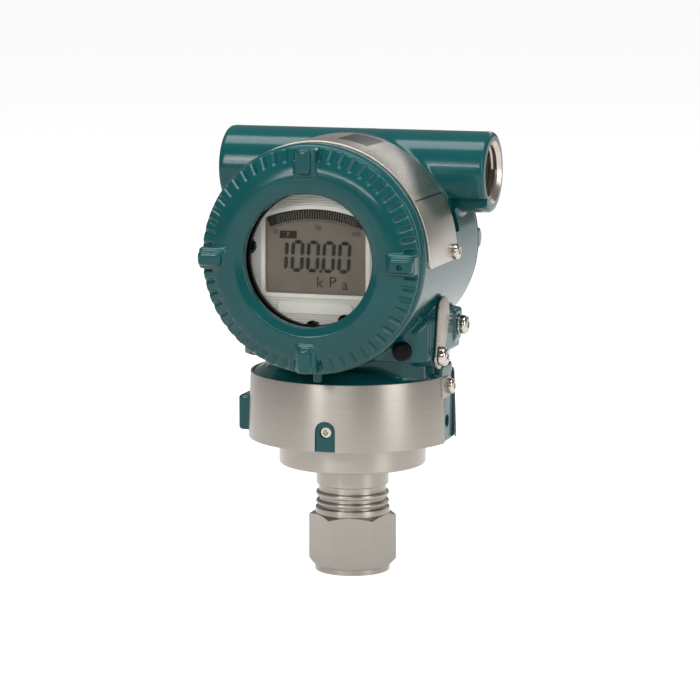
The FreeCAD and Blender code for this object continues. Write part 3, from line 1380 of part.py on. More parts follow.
def zero_flap():
    """Tongue that swings about its screw and hides the zero adjustment."""
    tongue = flap_outline(0).extrude(Vec(0, 0, FLAP_THICKNESS))
    tongue = tongue.cut(disc(M5_SHANK + TURN_CLEARANCE, 0, FLAP_THICKNESS))
    return to_right(tongue, FLAP_X, -FLAP_PIVOT_FORWARD, FLAP_PIVOT_Z)


def zero_flap_screw():
    return to_right(m5_screw(), FLAP_SCREW_X, -FLAP_PIVOT_FORWARD, FLAP_PIVOT_Z)


def zero_adjust_screw():
    """Slotted adjusting screw, sunk in the side of the block under the flap."""
    screw = turned([
        (0, -ZERO_HEAD_HEIGHT - ZERO_SHANK_LENGTH, 0),
        (ZERO_SHANK_RADIUS, -ZERO_HEAD_HEIGHT - ZERO_SHANK_LENGTH, 0),
        (ZERO_SHANK_RADIUS, -ZERO_HEAD_HEIGHT, 0),
        (ZERO_HEAD_RADIUS, -ZERO_HEAD_HEIGHT, 0),
        (ZERO_HEAD_RADIUS, 0, EDGE_BREAK),
        (0, 0, 0),
    ])
    slot = box(-ZERO_HEAD_RADIUS, ZERO_HEAD_RADIUS, -ZERO_SLOT_WIDTH / 2, ZERO_SLOT_WIDTH / 2,
               -ZERO_SLOT_DEPTH, 0)
    return to_right(screw.cut(slot), BLOCK_RIGHT - ZERO_HEAD_SINK, ZERO_BACK, ZERO_Z)


def cover_lock_bolts():
    """Bolts under the barrel's front and rear edges that lock the covers."""
    seat = BARREL_RADIUS + SCREW_HOLE_SLACK
    tip = BARREL_RADIUS - LOCK_BOLT_DEPTH + SCREW_HOLE_SLACK
    bolt = turned([
        (0, tip, 0),
        (LOCK_BOLT_RADIUS, tip, 0),
        (LOCK_BOLT_RADIUS, seat, 0),
        (LOCK_BOLT_HEAD_RADIUS, seat, 0),
        (LOCK_BOLT_HEAD_RADIUS, seat + LOCK_BOLT_HEAD_HEIGHT, EDGE_BREAK),
        (0, seat + LOCK_BOLT_HEAD_HEIGHT, 0),
    ])
    return Part.makeCompound(under_barrel(bolt))


def blanking_plug():
    """Domed plug in the front of the block."""
    plug = pan_screw(PLUG_SHANK_RADIUS, PLUG_HEAD_RADIUS, PLUG_HEAD_HEIGHT, PLUG_DEPTH)
    return faced(plug, Vec(PLUG_X, -BLOCK_FRONT, PLUG_Z), X_AXIS, -Y_AXIS)


PIECES = (
    process_connector, capsule_flange, swivel_o_ring, sensor_diaphragm, sensor_cell, sensor_header,
    sensor_lead, lead_socket, amplifier_housing, base_band, band_screws, swivel_set_screws, nameplate,
    nameplate_screws, ground_washer, ground_screw, cover_lock_bolts, blanking_plug, indicator_bezel,
    lcd_panel, indicator_board, indicator_spacers, indicator_screws, amplifier_board, board_spacers,
    board_connector, wall_feedthrough, terminal_block, terminal_screws, terminal_block_screws,
    inner_ground_screw, zero_flap, zero_flap_screw, zero_adjust_screw, display_cover, window_gasket,
    window_glass, window_retainer, front_o_ring, terminal_cover, rear_o_ring,
)

os.makedirs("parts", exist_ok=True)
for piece in PIECES:
    shape = piece()
    shape.exportStep(os.path.join("parts", piece.__name__ + ".step"))
    print(piece.__name__, len(shape.Solids), round(shape.Volume, 1), shape.isValid())
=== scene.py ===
# %% [markdown]
# # A gauge pressure transmitter, dressed for a photograph
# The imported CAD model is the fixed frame: it gives every size and every moving body. This lesson
# builds the visible pieces around it with bmesh and gives each one the finish of the real material.

# %% Load the frame
import math

import bmesh
import bpy
from mathutils import Matrix, Vector


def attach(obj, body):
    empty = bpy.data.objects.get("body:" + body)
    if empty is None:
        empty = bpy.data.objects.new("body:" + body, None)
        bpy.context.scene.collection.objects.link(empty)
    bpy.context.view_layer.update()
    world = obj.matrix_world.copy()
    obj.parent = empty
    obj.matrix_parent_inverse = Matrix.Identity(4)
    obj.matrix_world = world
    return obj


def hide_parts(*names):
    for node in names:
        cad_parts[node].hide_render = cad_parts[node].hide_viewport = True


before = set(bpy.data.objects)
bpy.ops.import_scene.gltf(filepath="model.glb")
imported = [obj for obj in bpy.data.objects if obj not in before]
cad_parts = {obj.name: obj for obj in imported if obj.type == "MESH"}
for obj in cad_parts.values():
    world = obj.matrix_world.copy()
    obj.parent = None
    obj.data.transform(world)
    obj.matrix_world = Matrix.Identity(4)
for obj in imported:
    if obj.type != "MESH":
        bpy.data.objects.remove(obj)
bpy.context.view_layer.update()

# %% [markdown]
# ## Camera
# The photograph was taken from the front, a little to the right and a little above, with a long lens.
# The numbers come from fitting circles on the covers and the band to the picture. A long lens is a large
# focal length on the usual 36 mm sensor, and a small shift puts the object where the photograph has it.

# %% Camera
MM = 0.001
CAMERA_TARGET = Vector((0.0, 0.0, 96.2)) * MM
CAMERA_AZIMUTH = math.radians(17.7)
CAMERA_ELEVATION = math.radians(8.67)
CAMERA_DISTANCE = 1.3
SENSOR_WIDTH, FOCAL_LENGTH = 36.0, 160.0
PICTURE_PIXELS, SHIFT_PIXELS = 700, (-2.55, -7.1)

towards_camera = Vector((
    math.sin(CAMERA_AZIMUTH) * math.cos(CAMERA_ELEVATION),
    -math.cos(CAMERA_AZIMUTH) * math.cos(CAMERA_ELEVATION),
    math.sin(CAMERA_ELEVATION),
))
lens = bpy.data.cameras.new("camera")
lens.sensor_width = SENSOR_WIDTH
lens.lens = FOCAL_LENGTH
lens.shift_x, lens.shift_y = [pixels / PICTURE_PIXELS for pixels in SHIFT_PIXELS]
lens.clip_end = 20.0
camera = bpy.data.objects.new("camera", lens)
camera.location = CAMERA_TARGET + towards_camera * CAMERA_DISTANCE
camera.rotation_euler = towards_camera.to_track_quat("Z", "Y").to_euler()
bpy.context.scene.collection.objects.link(camera)
bpy.context.scene.camera = camera
bpy.context.scene.view_settings.view_transform = "Standard"
print("camera at", [round(value, 3) for value in camera.location])

# %% [markdown]
# ## Tools for materials
# Colours are written as the hex values a painter would pick on a screen, so one function turns them into
# the linear numbers the shader wants. A second one adds a node, sets it up and links its inputs, and a
# third lets patterns vary a surface, which keeps each recipe below as short as a list of ingredients.

# %% Material tools
def linear(hex_code):
    """Linear RGBA of an sRGB hex colour."""
    parts = [int(hex_code[i:i + 2], 16) / 255 for i in (1, 3, 5)]
    return [p / 12.92 if p <= 0.04045 else ((p + 0.055) / 1.055) ** 2.4 for p in parts] + [1.0]


def add(tree, kind, inputs=None, **settings):
    """Adds one node, applies its settings, then sets or links its inputs."""
    node = tree.nodes.new("ShaderNode" + kind)
    for name, value in settings.items():
        setattr(node, name, value)
    for name, value in (inputs or {}).items():
        if isinstance(value, bpy.types.NodeSocket):
            tree.links.new(value, node.inputs[name])
        else:
            node.inputs[name].default_value = value
    return node


def new_material(name, **sockets):
    """A material with a Principled shader whose sockets are set by name, and its object coordinates."""
    material = bpy.data.materials.new(name)
    material.use_nodes = True
    tree = material.node_tree
    shader = tree.nodes["Principled BSDF"]
    for socket, value in sockets.items():
        shader.inputs[socket.replace("_", " ")].default_value = value
    place = add(tree, "TexCoord").outputs["Object"]
    return material, tree, shader, place


def per_mm(size):
    """Texture scale that repeats about once in this many millimetres, as objects are in metres."""
    return 1000.0 / size


def vary(tree, shader, tone, relief, colours, roughness, strength, depth):
    """One pattern moves the colour between two tones, another the roughness and a height in millimetres."""
    ramp = add(tree, "ValToRGB", {"Fac": tone.outputs["Fac"]})
    for stop, position, colour in zip(ramp.color_ramp.elements, (0.3, 0.7), colours):
        stop.position = position
        stop.color = linear(colour)
    tree.links.new(ramp.outputs["Color"], shader.inputs["Base Color"])
    height = relief.outputs["Fac"]
    gloss = add(tree, "MapRange", {"Value": height, "To Min": roughness[0], "To Max": roughness[1]})
    tree.links.new(gloss.outputs["Result"], shader.inputs["Roughness"])
    bump = add(tree, "Bump", {"Height": height, "Strength": strength, "Distance": depth * MM})
    tree.links.new(bump.outputs["Normal"], shader.inputs["Normal"])


print("material tools ready")

# %% [markdown]
# ## Sea-green enamel
# The casting and its covers are aluminium under a baked enamel. Such paint is smooth and half glossy, it
# pools very slightly in tone from place to place, and close up it has the gentle ripple called orange
# peel. A dark and a light sea green are mixed by a broad noise. The ripple feeds the gloss and the bump;
# it is drawn at two millimetres, coarser than the real one, so that it shows.

# %% Sea-green enamel
ENAMEL, tree, shader, place = new_material("sea_green_enamel", IOR=1.5, Specular_IOR_Level=0.3)
cloud = add(tree, "TexNoise", {"Vector": place, "Scale": per_mm(30), "Detail": 2.0})
ripple = add(tree, "TexNoise", {"Vector": place, "Scale": per_mm(2.2), "Detail": 0.0})
vary(tree, shader, cloud, ripple, ("#0A494B", "#0D5254"), (0.14, 0.2), 0.08, 0.03)
print("made", ENAMEL.name)

# %% [markdown]
# ## Steel and aluminium
# The band and the flap are brushed sheet, the fitting below is turned bar, and the screws are plated and
# bright. All are the same idea: a metal whose roughness and height vary along fine lines. The lines come
# from a noise that is stretched along the brushing and squeezed across it. On the band and the fitting
# they run round the axis, which draws each lamp out into an upright streak.

# %% Steel and aluminium
GLOSS_SPREAD = 0.05


def steel(name, dark, light, rough, line_sizes, depth, **sockets):
    """Metal with fine lines: line_sizes are the noise sizes along X, Y and Z in millimetres."""
    material, tree, shader, place = new_material(name, Metallic=1.0, **sockets)
    stretch = add(tree, "Mapping", {"Vector": place, "Scale": [per_mm(size) for size in line_sizes]})
    lines = add(tree, "TexNoise", {"Vector": stretch.outputs["Vector"], "Scale": 1.0, "Detail": 3.0})
    roughness = (rough - GLOSS_SPREAD, rough + GLOSS_SPREAD)
    vary(tree, shader, lines, lines, (dark, light), roughness, 0.3, depth)
    return material


def lathe_lines(material):
    """Lines that run round the upright axis, so that a highlight on them stretches up and down."""
    tree = material.node_tree
    around = add(tree, "Tangent", direction_type="RADIAL", axis="Z")
    tree.links.new(around.outputs["Tangent"], tree.nodes["Principled BSDF"].inputs["Tangent"])


BAND_STEEL = steel("brushed_stainless_band", "#A09A92", "#A9A39B", 0.42, (90, 90, 0.2), 0.004,
                   Anisotropic=0.75, Anisotropic_Rotation=0.25)
TURNED_STEEL = steel("turned_stainless_bar", "#A19B93", "#A9A39B", 0.36, (60, 60, 0.15), 0.004,
                     Anisotropic=0.8, Anisotropic_Rotation=0.25)
for material in (BAND_STEEL, TURNED_STEEL):
    lathe_lines(material)
BRIGHT_STEEL = steel("bright_plated_steel", "#A8A39B", "#C4C0B8", 0.18, (1.2, 1.2, 1.2), 0.01)
BARE_ALUMINIUM = steel("machined_aluminium", "#A79F94", "#C4BCB0", 0.3, (0.4, 6, 6), 0.02)
FLAP_STEEL = steel("brushed_stainless_flap", "#8F8A82", "#A9A49B", 0.38, (5, 5, 0.4), 0.02)
BLACK_STEEL = steel("black_oxide_steel", "#1B1B1C", "#2B2B2C", 0.4, (0.8, 0.8, 0.8), 0.02)
BRASS = steel("turned_brass", "#A88846", "#C6A866", 0.28, (6, 6, 0.4), 0.02)
print("made seven metal finishes")

# %% [markdown]
# ## Plastics, rubber and the display
# The bezel is a moulded pale grey, the display is a dark glass with black liquid-crystal segments, and the
# rest inside is ordinary: green laminate, black plastic and nitrile rubber. Each gets the faint variation
# its making leaves, such as moulding grain on plastic or the weave of a laminate.

# %% Plastics and rubber
def speckled(name, dark, light, rough, size, depth, **sockets):
    """Dull or glossy solid whose tone and height vary as grains of a given size in millimetres."""
    material, tree, shader, place = new_material(name, **sockets)
    grains = add(tree, "TexNoise", {"Vector": place, "Scale": per_mm(size), "Detail": 4.0})
    roughness = (rough - GLOSS_SPREAD, rough + GLOSS_SPREAD)
    vary(tree, shader, grains, grains, (dark, light), roughness, 0.2, depth)
    return material


BEZEL_PLASTIC = speckled("moulded_polycarbonate", "#DAD8CF", "#E6E4DC", 0.42, 0.5, 0.02, IOR=1.58)
DISPLAY_GLASS = speckled("liquid_crystal_glass", "#6C6356", "#766D60", 0.2, 9.0, 0.005,
                         Specular_IOR_Level=0.2)
DISPLAY_INK = speckled("liquid_crystal_segments", "#0A0806", "#110E0B", 0.3, 2.0, 0.005,
                       Specular_IOR_Level=0.2)
PALE_INK = speckled("liquid_crystal_gaps", "#6A6152", "#746A5B", 0.3, 2.0, 0.005,
                    Specular_IOR_Level=0.2)
RUBBER = speckled("nitrile_rubber", "#141414", "#1E1E1E", 0.6, 0.4, 0.03, IOR=1.52)
BLACK_PLASTIC = speckled("black_nylon", "#030304", "#080809", 0.3, 0.5, 0.02, Specular_IOR_Level=0.12)
LAMINATE = speckled("glass_fibre_laminate", "#1F4D33", "#2A5E40", 0.45, 0.6, 0.02, IOR=1.55)
print("made plastics, rubber and display finishes")

# %% [markdown]
# ## Toughened window glass
# The window is a thick clear disc. Glass needs no colour of its own: full transmission, the index of
# refraction of soda-lime glass and a surface that is not quite perfectly smooth. A low alpha lets most of
# the light go straight through, as an anti-glare pane does, so the lamps reach the display behind it.

# %% Window glass
GLASS, tree, shader, place = new_material(
    "toughened_glass", Transmission_Weight=1.0, IOR=1.5, Alpha=0.05, Base_Color=linear("#F4F8F6"))
haze = add(tree, "TexNoise", {"Vector": place, "Scale": per_mm(12), "Detail": 2.0})
film = add(tree, "MapRange", {"Value": haze.outputs["Fac"], "To Min": 0.0, "To Max": 0.03})
tree.links.new(film.outputs["Result"], shader.inputs["Roughness"])
print("made", GLASS.name)

# %% [markdown]
# ## Tools for shapes
# Nearly everything on this object was turned on a lathe, cut from bar or sheet, or cast. So the toolbox is
# short: a profile spun round an axis, an outline pulled up into a prism and a block with rounded edges.
# Everything is drawn in millimetres on its own Z axis, then turned to face the way it is mounted.

# %% Places
BARREL_AXIS_Z = 137.7
RIGHT, BACK, UP = Vector((1, 0, 0)), Vector((0, 1, 0)), Vector((0, 0, 1))


def facing(origin, right, outward):
    """Matrix that turns a shape built on Z so that Z points outward and X points right, at origin."""
    turn = Matrix((right, outward.cross(right), outward)).transposed().to_4x4()
    return Matrix.Translation(Vector(origin)) @ turn


FRONT = facing((0, 0, BARREL_AXIS_Z), RIGHT, -BACK)
REAR = facing((0, 0, BARREL_AXIS_Z), -RIGHT, BACK)


def looking_right(x, y, z):
    """Place for a shape that looks out of the right side."""
    return facing((x, y, z), BACK, RIGHT)


def looking_left(x, y, z):
    """Place for a shape that looks out of the left side."""
    return facing((x, y, z), -BACK, -RIGHT)


def moved(bm, matrix):
    """The same shape, carried to its place."""
    bmesh.ops.transform(bm, matrix=matrix, verts=bm.verts)
    return bm


print("covers and display are placed about an axis at", BARREL_AXIS_Z, "mm")

# %% Shape tools
def bevel(bm, parts, size, segments, affect="EDGES"):
    """Rounds off some of a shape's edges or corners."""
    bmesh.ops.bevel(bm, geom=parts, offset=size, offset_type="OFFSET", segments=segments, profile=0.5,
                    affect=affect, material=-1)
    return bm


def round_corners(bm, corners, points, segments):
    """Rounds off each corner whose point has a third number, the size of its rounding."""
    for corner, point in zip(corners, points):
        if any(point[2:]):
            bevel(bm, [corner], point[2], segments, "VERTICES")


def turned(profile, steps=128, closed=False, segments=5):
    """Shape spun about Z from (radius, height) points, some with a rounding; closed, it is a ring."""
    bm = bmesh.new()
    corners = [bm.verts.new((point[0], 0, point[1])) for point in profile]
    for start, end in zip(corners, corners[1:]):
        bm.edges.new((start, end))
    if closed:
        bm.edges.new((corners[-1], corners[0]))
    round_corners(bm, corners, profile, segments)
    bmesh.ops.spin(bm, geom=bm.verts[:] + bm.edges[:], cent=(0, 0, 0), axis=(0, 0, 1), dvec=(0, 0, 0),
                   angle=2 * math.pi, steps=steps, use_merge=True, use_duplicate=False)
    bmesh.ops.remove_doubles(bm, verts=bm.verts, dist=0.0001)
    bmesh.ops.recalc_face_normals(bm, faces=bm.faces)
    return bm


def rod(radius, low, high, steps, low_rounding=0, high_rounding=0):
    """Cylinder on Z from low to high, with its two rims rounded."""
    return turned([(0, low), (radius, low, low_rounding), (radius, high, high_rounding), (0, high)], steps)


def prism(outline, low, high, segments=5):
    """Outline of (x, y) points, some with a rounding, pulled up from low to high along Z."""
    bm = bmesh.new()
    corners = [bm.verts.new((point[0], point[1], low)) for point in outline]
    bm.faces.new(corners)
    round_corners(bm, corners, outline, segments)
    pulled = bmesh.ops.extrude_face_region(bm, geom=bm.faces[:])["geom"]
    raised = [item for item in pulled if isinstance(item, bmesh.types.BMVert)]
    bmesh.ops.translate(bm, verts=raised, vec=(0, 0, high - low))
    bmesh.ops.recalc_face_normals(bm, faces=bm.faces)
    return bm


def hexagon(across, turn=0.0, rounding=0.0):
    """Outline with six corners and a size across its flats, turned by an angle in degrees."""
    radius = across / math.sqrt(3)
    corners = [math.radians(turn + 60 * i) for i in range(6)]
    return [(radius * math.cos(corner), radius * math.sin(corner), rounding) for corner in corners]


def oblong(left, right, low, high, left_rounding, right_rounding):
    """Outline of a rectangle, with one rounding for the corners at each end."""
    return [(left, low, left_rounding), (right, low, right_rounding), (right, high, right_rounding),
            (left, high, left_rounding)]


def block(low, high, rounding=0.0):
    """Block between two corners with its edges rounded."""
    bm = bmesh.new()
    low, high = Vector(low), Vector(high)
    bmesh.ops.create_cube(bm, size=1.0)
    bmesh.ops.scale(bm, vec=high - low, verts=bm.verts)
    bmesh.ops.translate(bm, vec=(low + high) / 2, verts=bm.verts)
    return bevel(bm, bm.edges[:], rounding, 3) if rounding else bm


def joined(parts):
    """One bmesh that holds several closed shapes."""
    whole = bmesh.new()
    for part in parts:
        mesh = bpy.data.meshes.new("part")
        part.to_mesh(mesh)
        part.free()
        whole.from_mesh(mesh)
        bpy.data.meshes.remove(mesh)
    return whole


print("shape tools ready")

# %% [markdown]
# ## Tools for pieces
# A bmesh becomes a piece once it is scaled to metres and linked to the scene. Drilling and milling are
# Boolean modifiers with a cutter object, which is thrown away after the cut. A casting is softened: the
# voxel remesh melts all its blocks into one skin and smoothing rounds every corner as a mould would. Last,
# the hair-thin triangles that cuts leave are welded, so that every finished mesh is closed.

# %% Piece tools
def piece_of(bm, name):
    """Object at the origin from a bmesh in millimetres."""
    bmesh.ops.scale(bm, vec=(MM, MM, MM), verts=bm.verts)
    mesh = bpy.data.meshes.new(name)
    bm.to_mesh(mesh)
    bm.free()
    piece = bpy.data.objects.new(name, mesh)
    bpy.context.scene.collection.objects.link(piece)
    return piece


def place_piece(piece, matrix):
    """Carries a piece's mesh to its place, by a matrix in millimetres."""
    piece.data.transform(Matrix.Scale(MM, 4) @ matrix @ Matrix.Scale(1 / MM, 4))


def settle(piece):
    """Makes the result of a piece's modifiers its own mesh."""
    looked_at = piece.evaluated_get(bpy.context.evaluated_depsgraph_get())
    result = bpy.data.meshes.new_from_object(looked_at)
    old = piece.data
    piece.modifiers.clear()
    piece.data = result
    bpy.data.meshes.remove(old)
    result.name = piece.name


def shape_by(piece, operation, tools):
    """Cuts away, adds or keeps what the tool shapes cover, one Boolean each."""
    helpers = []
    for number, tool in enumerate(tools):
        helper = piece_of(tool, f"tool_{number}")
        change = piece.modifiers.new(helper.name, "BOOLEAN")
        change.operation = operation
        change.solver = "MANIFOLD"
        change.object = helper
        helpers.append(helper)
    settle(piece)
    for helper in helpers:
        mesh = helper.data
        bpy.data.objects.remove(helper)
        bpy.data.meshes.remove(mesh)


print("piece tools ready")

# %% Finishing tools
WELD_GAP, SHARP_EDGE = 0.001, math.radians(35)


def soften(piece, voxel, rounds):
    """Melts overlapping shapes into one skin and rounds it off."""
    skin = piece.modifiers.new("skin", "REMESH")
    skin.mode = "VOXEL"
    skin.voxel_size = voxel * MM
    rub = piece.modifiers.new("rub", "SMOOTH")
    rub.factor = 0.5
    rub.iterations = rounds
    settle(piece)


def weld(piece):
    """Closes up the hair-thin triangles that Booleans leave where a cut runs through an old corner."""
    bm = bmesh.new()
    bm.from_mesh(piece.data)
    bmesh.ops.remove_doubles(bm, verts=bm.verts, dist=WELD_GAP * MM)
    bmesh.ops.triangulate(bm, faces=[face for face in bm.faces if len(face.verts) > 4])
    bmesh.ops.dissolve_degenerate(bm, edges=bm.edges, dist=WELD_GAP * MM)
    bm.to_mesh(piece.data)
    bm.free()


def dress(piece, slot, material, *nodes, body="transmitter"):
    """Gives a piece its material and shading and the body it rides on, and hides the CAD parts it stands
    for.
    """
    weld(piece)
    piece.data.materials.clear()
    piece.data.materials.append(material)
    piece.data.polygons.foreach_set("use_smooth", [True] * len(piece.data.polygons))
    piece.data.set_sharp_from_angle(angle=SHARP_EDGE)
    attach(piece, body)
    if nodes:
        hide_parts(*nodes)
    sides = sum(len(face.vertices) - 2 for face in piece.data.polygons)
    print(f"{piece.name}: {sides} triangles, rides on {body}")


print("finishing tools ready")

# %% [markdown]
# ## The cast housing
# One aluminium casting carries everything: a barrel for the electronics, a tube across its top for the
# cables, a faceted neck and a round foot ring. It could be cut from CAD faces, but a casting has a soft
# radius in every corner, so the plain blocks are drawn overlapping and melted together by the remesh.

# %% Outlines of the casting
BARREL_RADIUS, BARREL_FRONT, BARREL_REAR = 46.2, 51.0, 29.3
TUBE_RADIUS, TUBE_HALF, TUBE_Y, TUBE_Z = 16.8, 57.5, 11.0, 168.4
SHELF_FRONT, SHELF_REAR, SHELF_SIDE, SHELF_FOOT, SHELF_TOP = 38.0, 13.7, 43.0, 95.0, 112.0
NECK_LEFT, NECK_FACET, NECK_ROUNDING = 36.0, 4.2, 0.6
CHANNELS, CHANNEL_HALF, CHANNEL_FLOOR = (31.5, 27.6), 0.95, 41.2
RING_FOOT, RING_TOP = 57.2, 89.1
PAD_FACE, PAD_HALF, PAD_ROOT, LEFT_PAD_FACE = 41.2, 8.5, 34.0, 47.9
FLAP_Y, FLAP_Z, FLAP_LOBE = -21.5, 95.89, Vector((6.0, 16.0))
LOBE_RADIUS, PIVOT_RADIUS = 8.0, 5.2
CASTING_VOXEL, CASTING_RUBS = 0.77, 6


def neck_outline(front, rear, right, left, facet):
    """Plan of the neck with a wide facet at each front corner."""
    soft = NECK_ROUNDING
    return [
        (-left, -front + facet, soft), (-left + facet, -front, soft),
        (right - facet, -front, soft), (right, -front + facet, soft),
        (right, rear, 2 * soft), (-left, rear, 2 * soft),
    ]


def flap_outline(shrink):
    """Plan of the flap's tongue about its pivot: a small and a large round joined by straight sides."""
    lean = math.atan2(FLAP_LOBE.x, FLAP_LOBE.y)
    spread = math.asin((LOBE_RADIUS - PIVOT_RADIUS) / FLAP_LOBE.length)
    first, second = -lean - spread, math.pi - lean + spread
    outline = []
    for centre, radius, start, end in (
        (FLAP_LOBE, LOBE_RADIUS - shrink, first, second),
        (Vector((0, 0)), PIVOT_RADIUS - shrink, second, 2 * math.pi + first),
    ):
        for i in range(25):
            angle = start + (end - start) * i / 24
            outline.append((centre.x + radius * math.cos(angle), centre.y + radius * math.sin(angle)))
    return outline


print("the flap's outline has", len(flap_outline(0.0)), "points")

# %% Blocks of the casting
barrel = moved(rod(BARREL_RADIUS, -BARREL_REAR, BARREL_FRONT, 256, 0.8, 0.8), FRONT)
tube = moved(rod(TUBE_RADIUS, -TUBE_HALF, TUBE_HALF, 160, 1.6, 1.6), looking_right(0, TUBE_Y, TUBE_Z))
core = prism(neck_outline(SHELF_FRONT, 24.0, 35.0, NECK_LEFT, NECK_FACET), SHELF_FOOT, BARREL_AXIS_Z)
shelf_plan = neck_outline(SHELF_FRONT, SHELF_REAR, SHELF_SIDE, NECK_LEFT, NECK_FACET)
sill = prism(shelf_plan, SHELF_FOOT, SHELF_FOOT + 3.0)
channels = []
for forward in CHANNELS:
    near, far = -forward - CHANNEL_HALF, -forward + CHANNEL_HALF
    channels += [(SHELF_SIDE, near), (CHANNEL_FLOOR, near), (CHANNEL_FLOOR, far), (SHELF_SIDE, far)]
shelf = prism(shelf_plan[:4] + channels + shelf_plan[4:], SHELF_FOOT + 2.9, SHELF_TOP)
bmesh.ops.bisect_plane(shelf, geom=shelf.verts[:] + shelf.edges[:] + shelf.faces[:], clear_outer=True,
                       plane_co=(0, -SHELF_FRONT, SHELF_TOP - 4.0), plane_no=(0, -4.0, 4.5))
bmesh.ops.holes_fill(shelf, edges=[edge for edge in shelf.edges if edge.is_boundary])
waist = prism(neck_outline(27.0, 20.0, 37.0, 31.0, 7.5), 83.5, 96.0)
foot_ring = turned([(0, RING_FOOT), (42.75, RING_FOOT, 0.4), (41.85, 84.5, 0.8), (33.5, RING_TOP, 0.8),
                    (0, RING_TOP)], 256)
right_pad = block((PAD_ROOT, -PAD_HALF, RING_FOOT), (PAD_FACE, PAD_HALF, 89.5), 0.6)
left_pad = block((-LEFT_PAD_FACE, -PAD_HALF, 58.2), (-PAD_ROOT, PAD_HALF, 73.3), 1.0)
earth_boss = block((36.0, 2.2, 98.6), (44.0, SHELF_REAR, SHELF_TOP), 1.2)
flap_boss = moved(prism(flap_outline(0.8), -13.0, 0.0), looking_right(SHELF_SIDE, FLAP_Y, FLAP_Z))
housing = piece_of(joined([barrel, tube, core, sill, shelf, waist, foot_ring, right_pad, left_pad,
                           earth_boss, flap_boss]), "cast_housing")
soften(housing, CASTING_VOXEL, CASTING_RUBS)
print("cast skin has", len(housing.data.polygons), "faces")

# %% [markdown]
# ## Machining the casting
# After casting, the real housing goes to the mill and the lathe: two round rooms for the electronics and
# the terminals, the threaded cable entries, the bore for the swivel and a flat for the band's tab. These
# cuts come after the softening, so that they keep the crisp edges of machined metal.

# %% Machining the casting
ROOM_RADIUS, ENTRY_ROOT, ENTRY_DEPTH = 37.5, 11.5, 24.5
SET_SCREW_ANGLES, SET_SCREW_Z, PAD_HOLE_Z = (2.6, 182.6), 65.4, 65.5
ENTRIES = {"right": looking_right(TUBE_HALF, TUBE_Y, TUBE_Z),
           "left": looking_left(-TUBE_HALF, TUBE_Y, TUBE_Z)}
PAD_HOLES = (looking_right(PAD_FACE, 0, PAD_HOLE_Z), looking_left(0.3 - LEFT_PAD_FACE, 0, PAD_HOLE_Z))
ZERO_HOLE = looking_right(SHELF_SIDE, FLAP_Y + FLAP_LOBE.x, FLAP_Z + FLAP_LOBE.y)


def out_of_ring(angle):
    """Place on the swivel's axis that looks out through the foot ring, at an angle from the front."""
    turn = math.radians(angle)
    return facing((0, 0, SET_SCREW_Z), UP, Vector((math.sin(turn), -math.cos(turn), 0)))


cable_entry = [(0, 1), (12.9, 1), (12.9, 0), (ENTRY_ROOT, -1.6), (ENTRY_ROOT, -ENTRY_DEPTH),
               (8.0, -ENTRY_DEPTH), (8.0, -40.5), (0, -40.5)]
swivel_bore = [(0, 50), (31.1, 50), (31.1, 74.3), (7.0, 74.3), (7.0, 86.2), (0, 86.2)]
tapped_hole = [(0, -8), (2.5, -8), (2.5, -0.4), (2.9, 0), (2.9, 1), (0, 1)]
zero_hole = [(0, -12.4), (2.3, -12.4), (2.3, -3.4), (4.3, -3.4), (4.3, 2), (0, 2)]
tab_flat = block((PAD_FACE, -PAD_HALF, 50), (60, PAD_HALF, 88.6))
tube_slot = block((42.0, -3.4, 144.7), (60, 1.6, 158.7))
cuts = [moved(rod(ROOM_RADIUS, 6, 60, 192), FRONT), moved(rod(ROOM_RADIUS, 4, 60, 192), REAR),
        turned(swivel_bore, 192)]
cuts += [moved(turned(cable_entry, 96), place) for place in ENTRIES.values()]
cuts += [tab_flat, tube_slot]
cuts += [moved(turned(tapped_hole, 32), place) for place in PAD_HOLES]
cuts.append(moved(turned(zero_hole, 48), ZERO_HOLE))
cuts += [moved(rod(2.45, 28, 50, 32), out_of_ring(angle)) for angle in SET_SCREW_ANGLES]
shape_by(housing, "DIFFERENCE", cuts)
dress(housing, "green_enamel", ENAMEL, "amplifier_housing")

# %% [markdown]
# ## Threads
# A cable entry shows its thread to anyone who looks in from the side, and so does the port below. A thread
# is a small ridge that winds up the bore. Spinning a face with a little lift at each step draws exactly
# that, and because the first and the last face stay, the coil is a closed body. In the cable entries it
# sits in a thin sleeve, which shows the bare metal that machining leaves there.

# %% Threads
THREAD_PITCH, THREAD_STEPS, SLEEVE = 1.814, 40, 0.05


def swept(face, angle, steps, lift=0.0):
    """Body left by a face of (radius, height) corners that turns about Z and rises at each step."""
    bm = bmesh.new()
    bm.faces.new([bm.verts.new((radius, 0, height)) for radius, height in face])
    bmesh.ops.spin(bm, geom=bm.verts[:] + bm.edges[:] + bm.faces[:], cent=(0, 0, 0), axis=(0, 0, 1),
                   dvec=(0, 0, lift), angle=angle, steps=steps, use_merge=False, use_duplicate=False)
    bmesh.ops.recalc_face_normals(bm, faces=bm.faces)
    return bm


def thread_coil(crest, root, turns):
    """Ridge of a female pipe thread on Z, from height 0 upwards."""
    ridge = [(root + 0.1, -0.45), (crest, -0.1), (crest, 0.1), (root + 0.1, 0.45)]
    face = [(radius, height * THREAD_PITCH) for radius, height in ridge]
    return swept(face, 2 * math.pi * turns, THREAD_STEPS * turns, THREAD_PITCH / THREAD_STEPS)


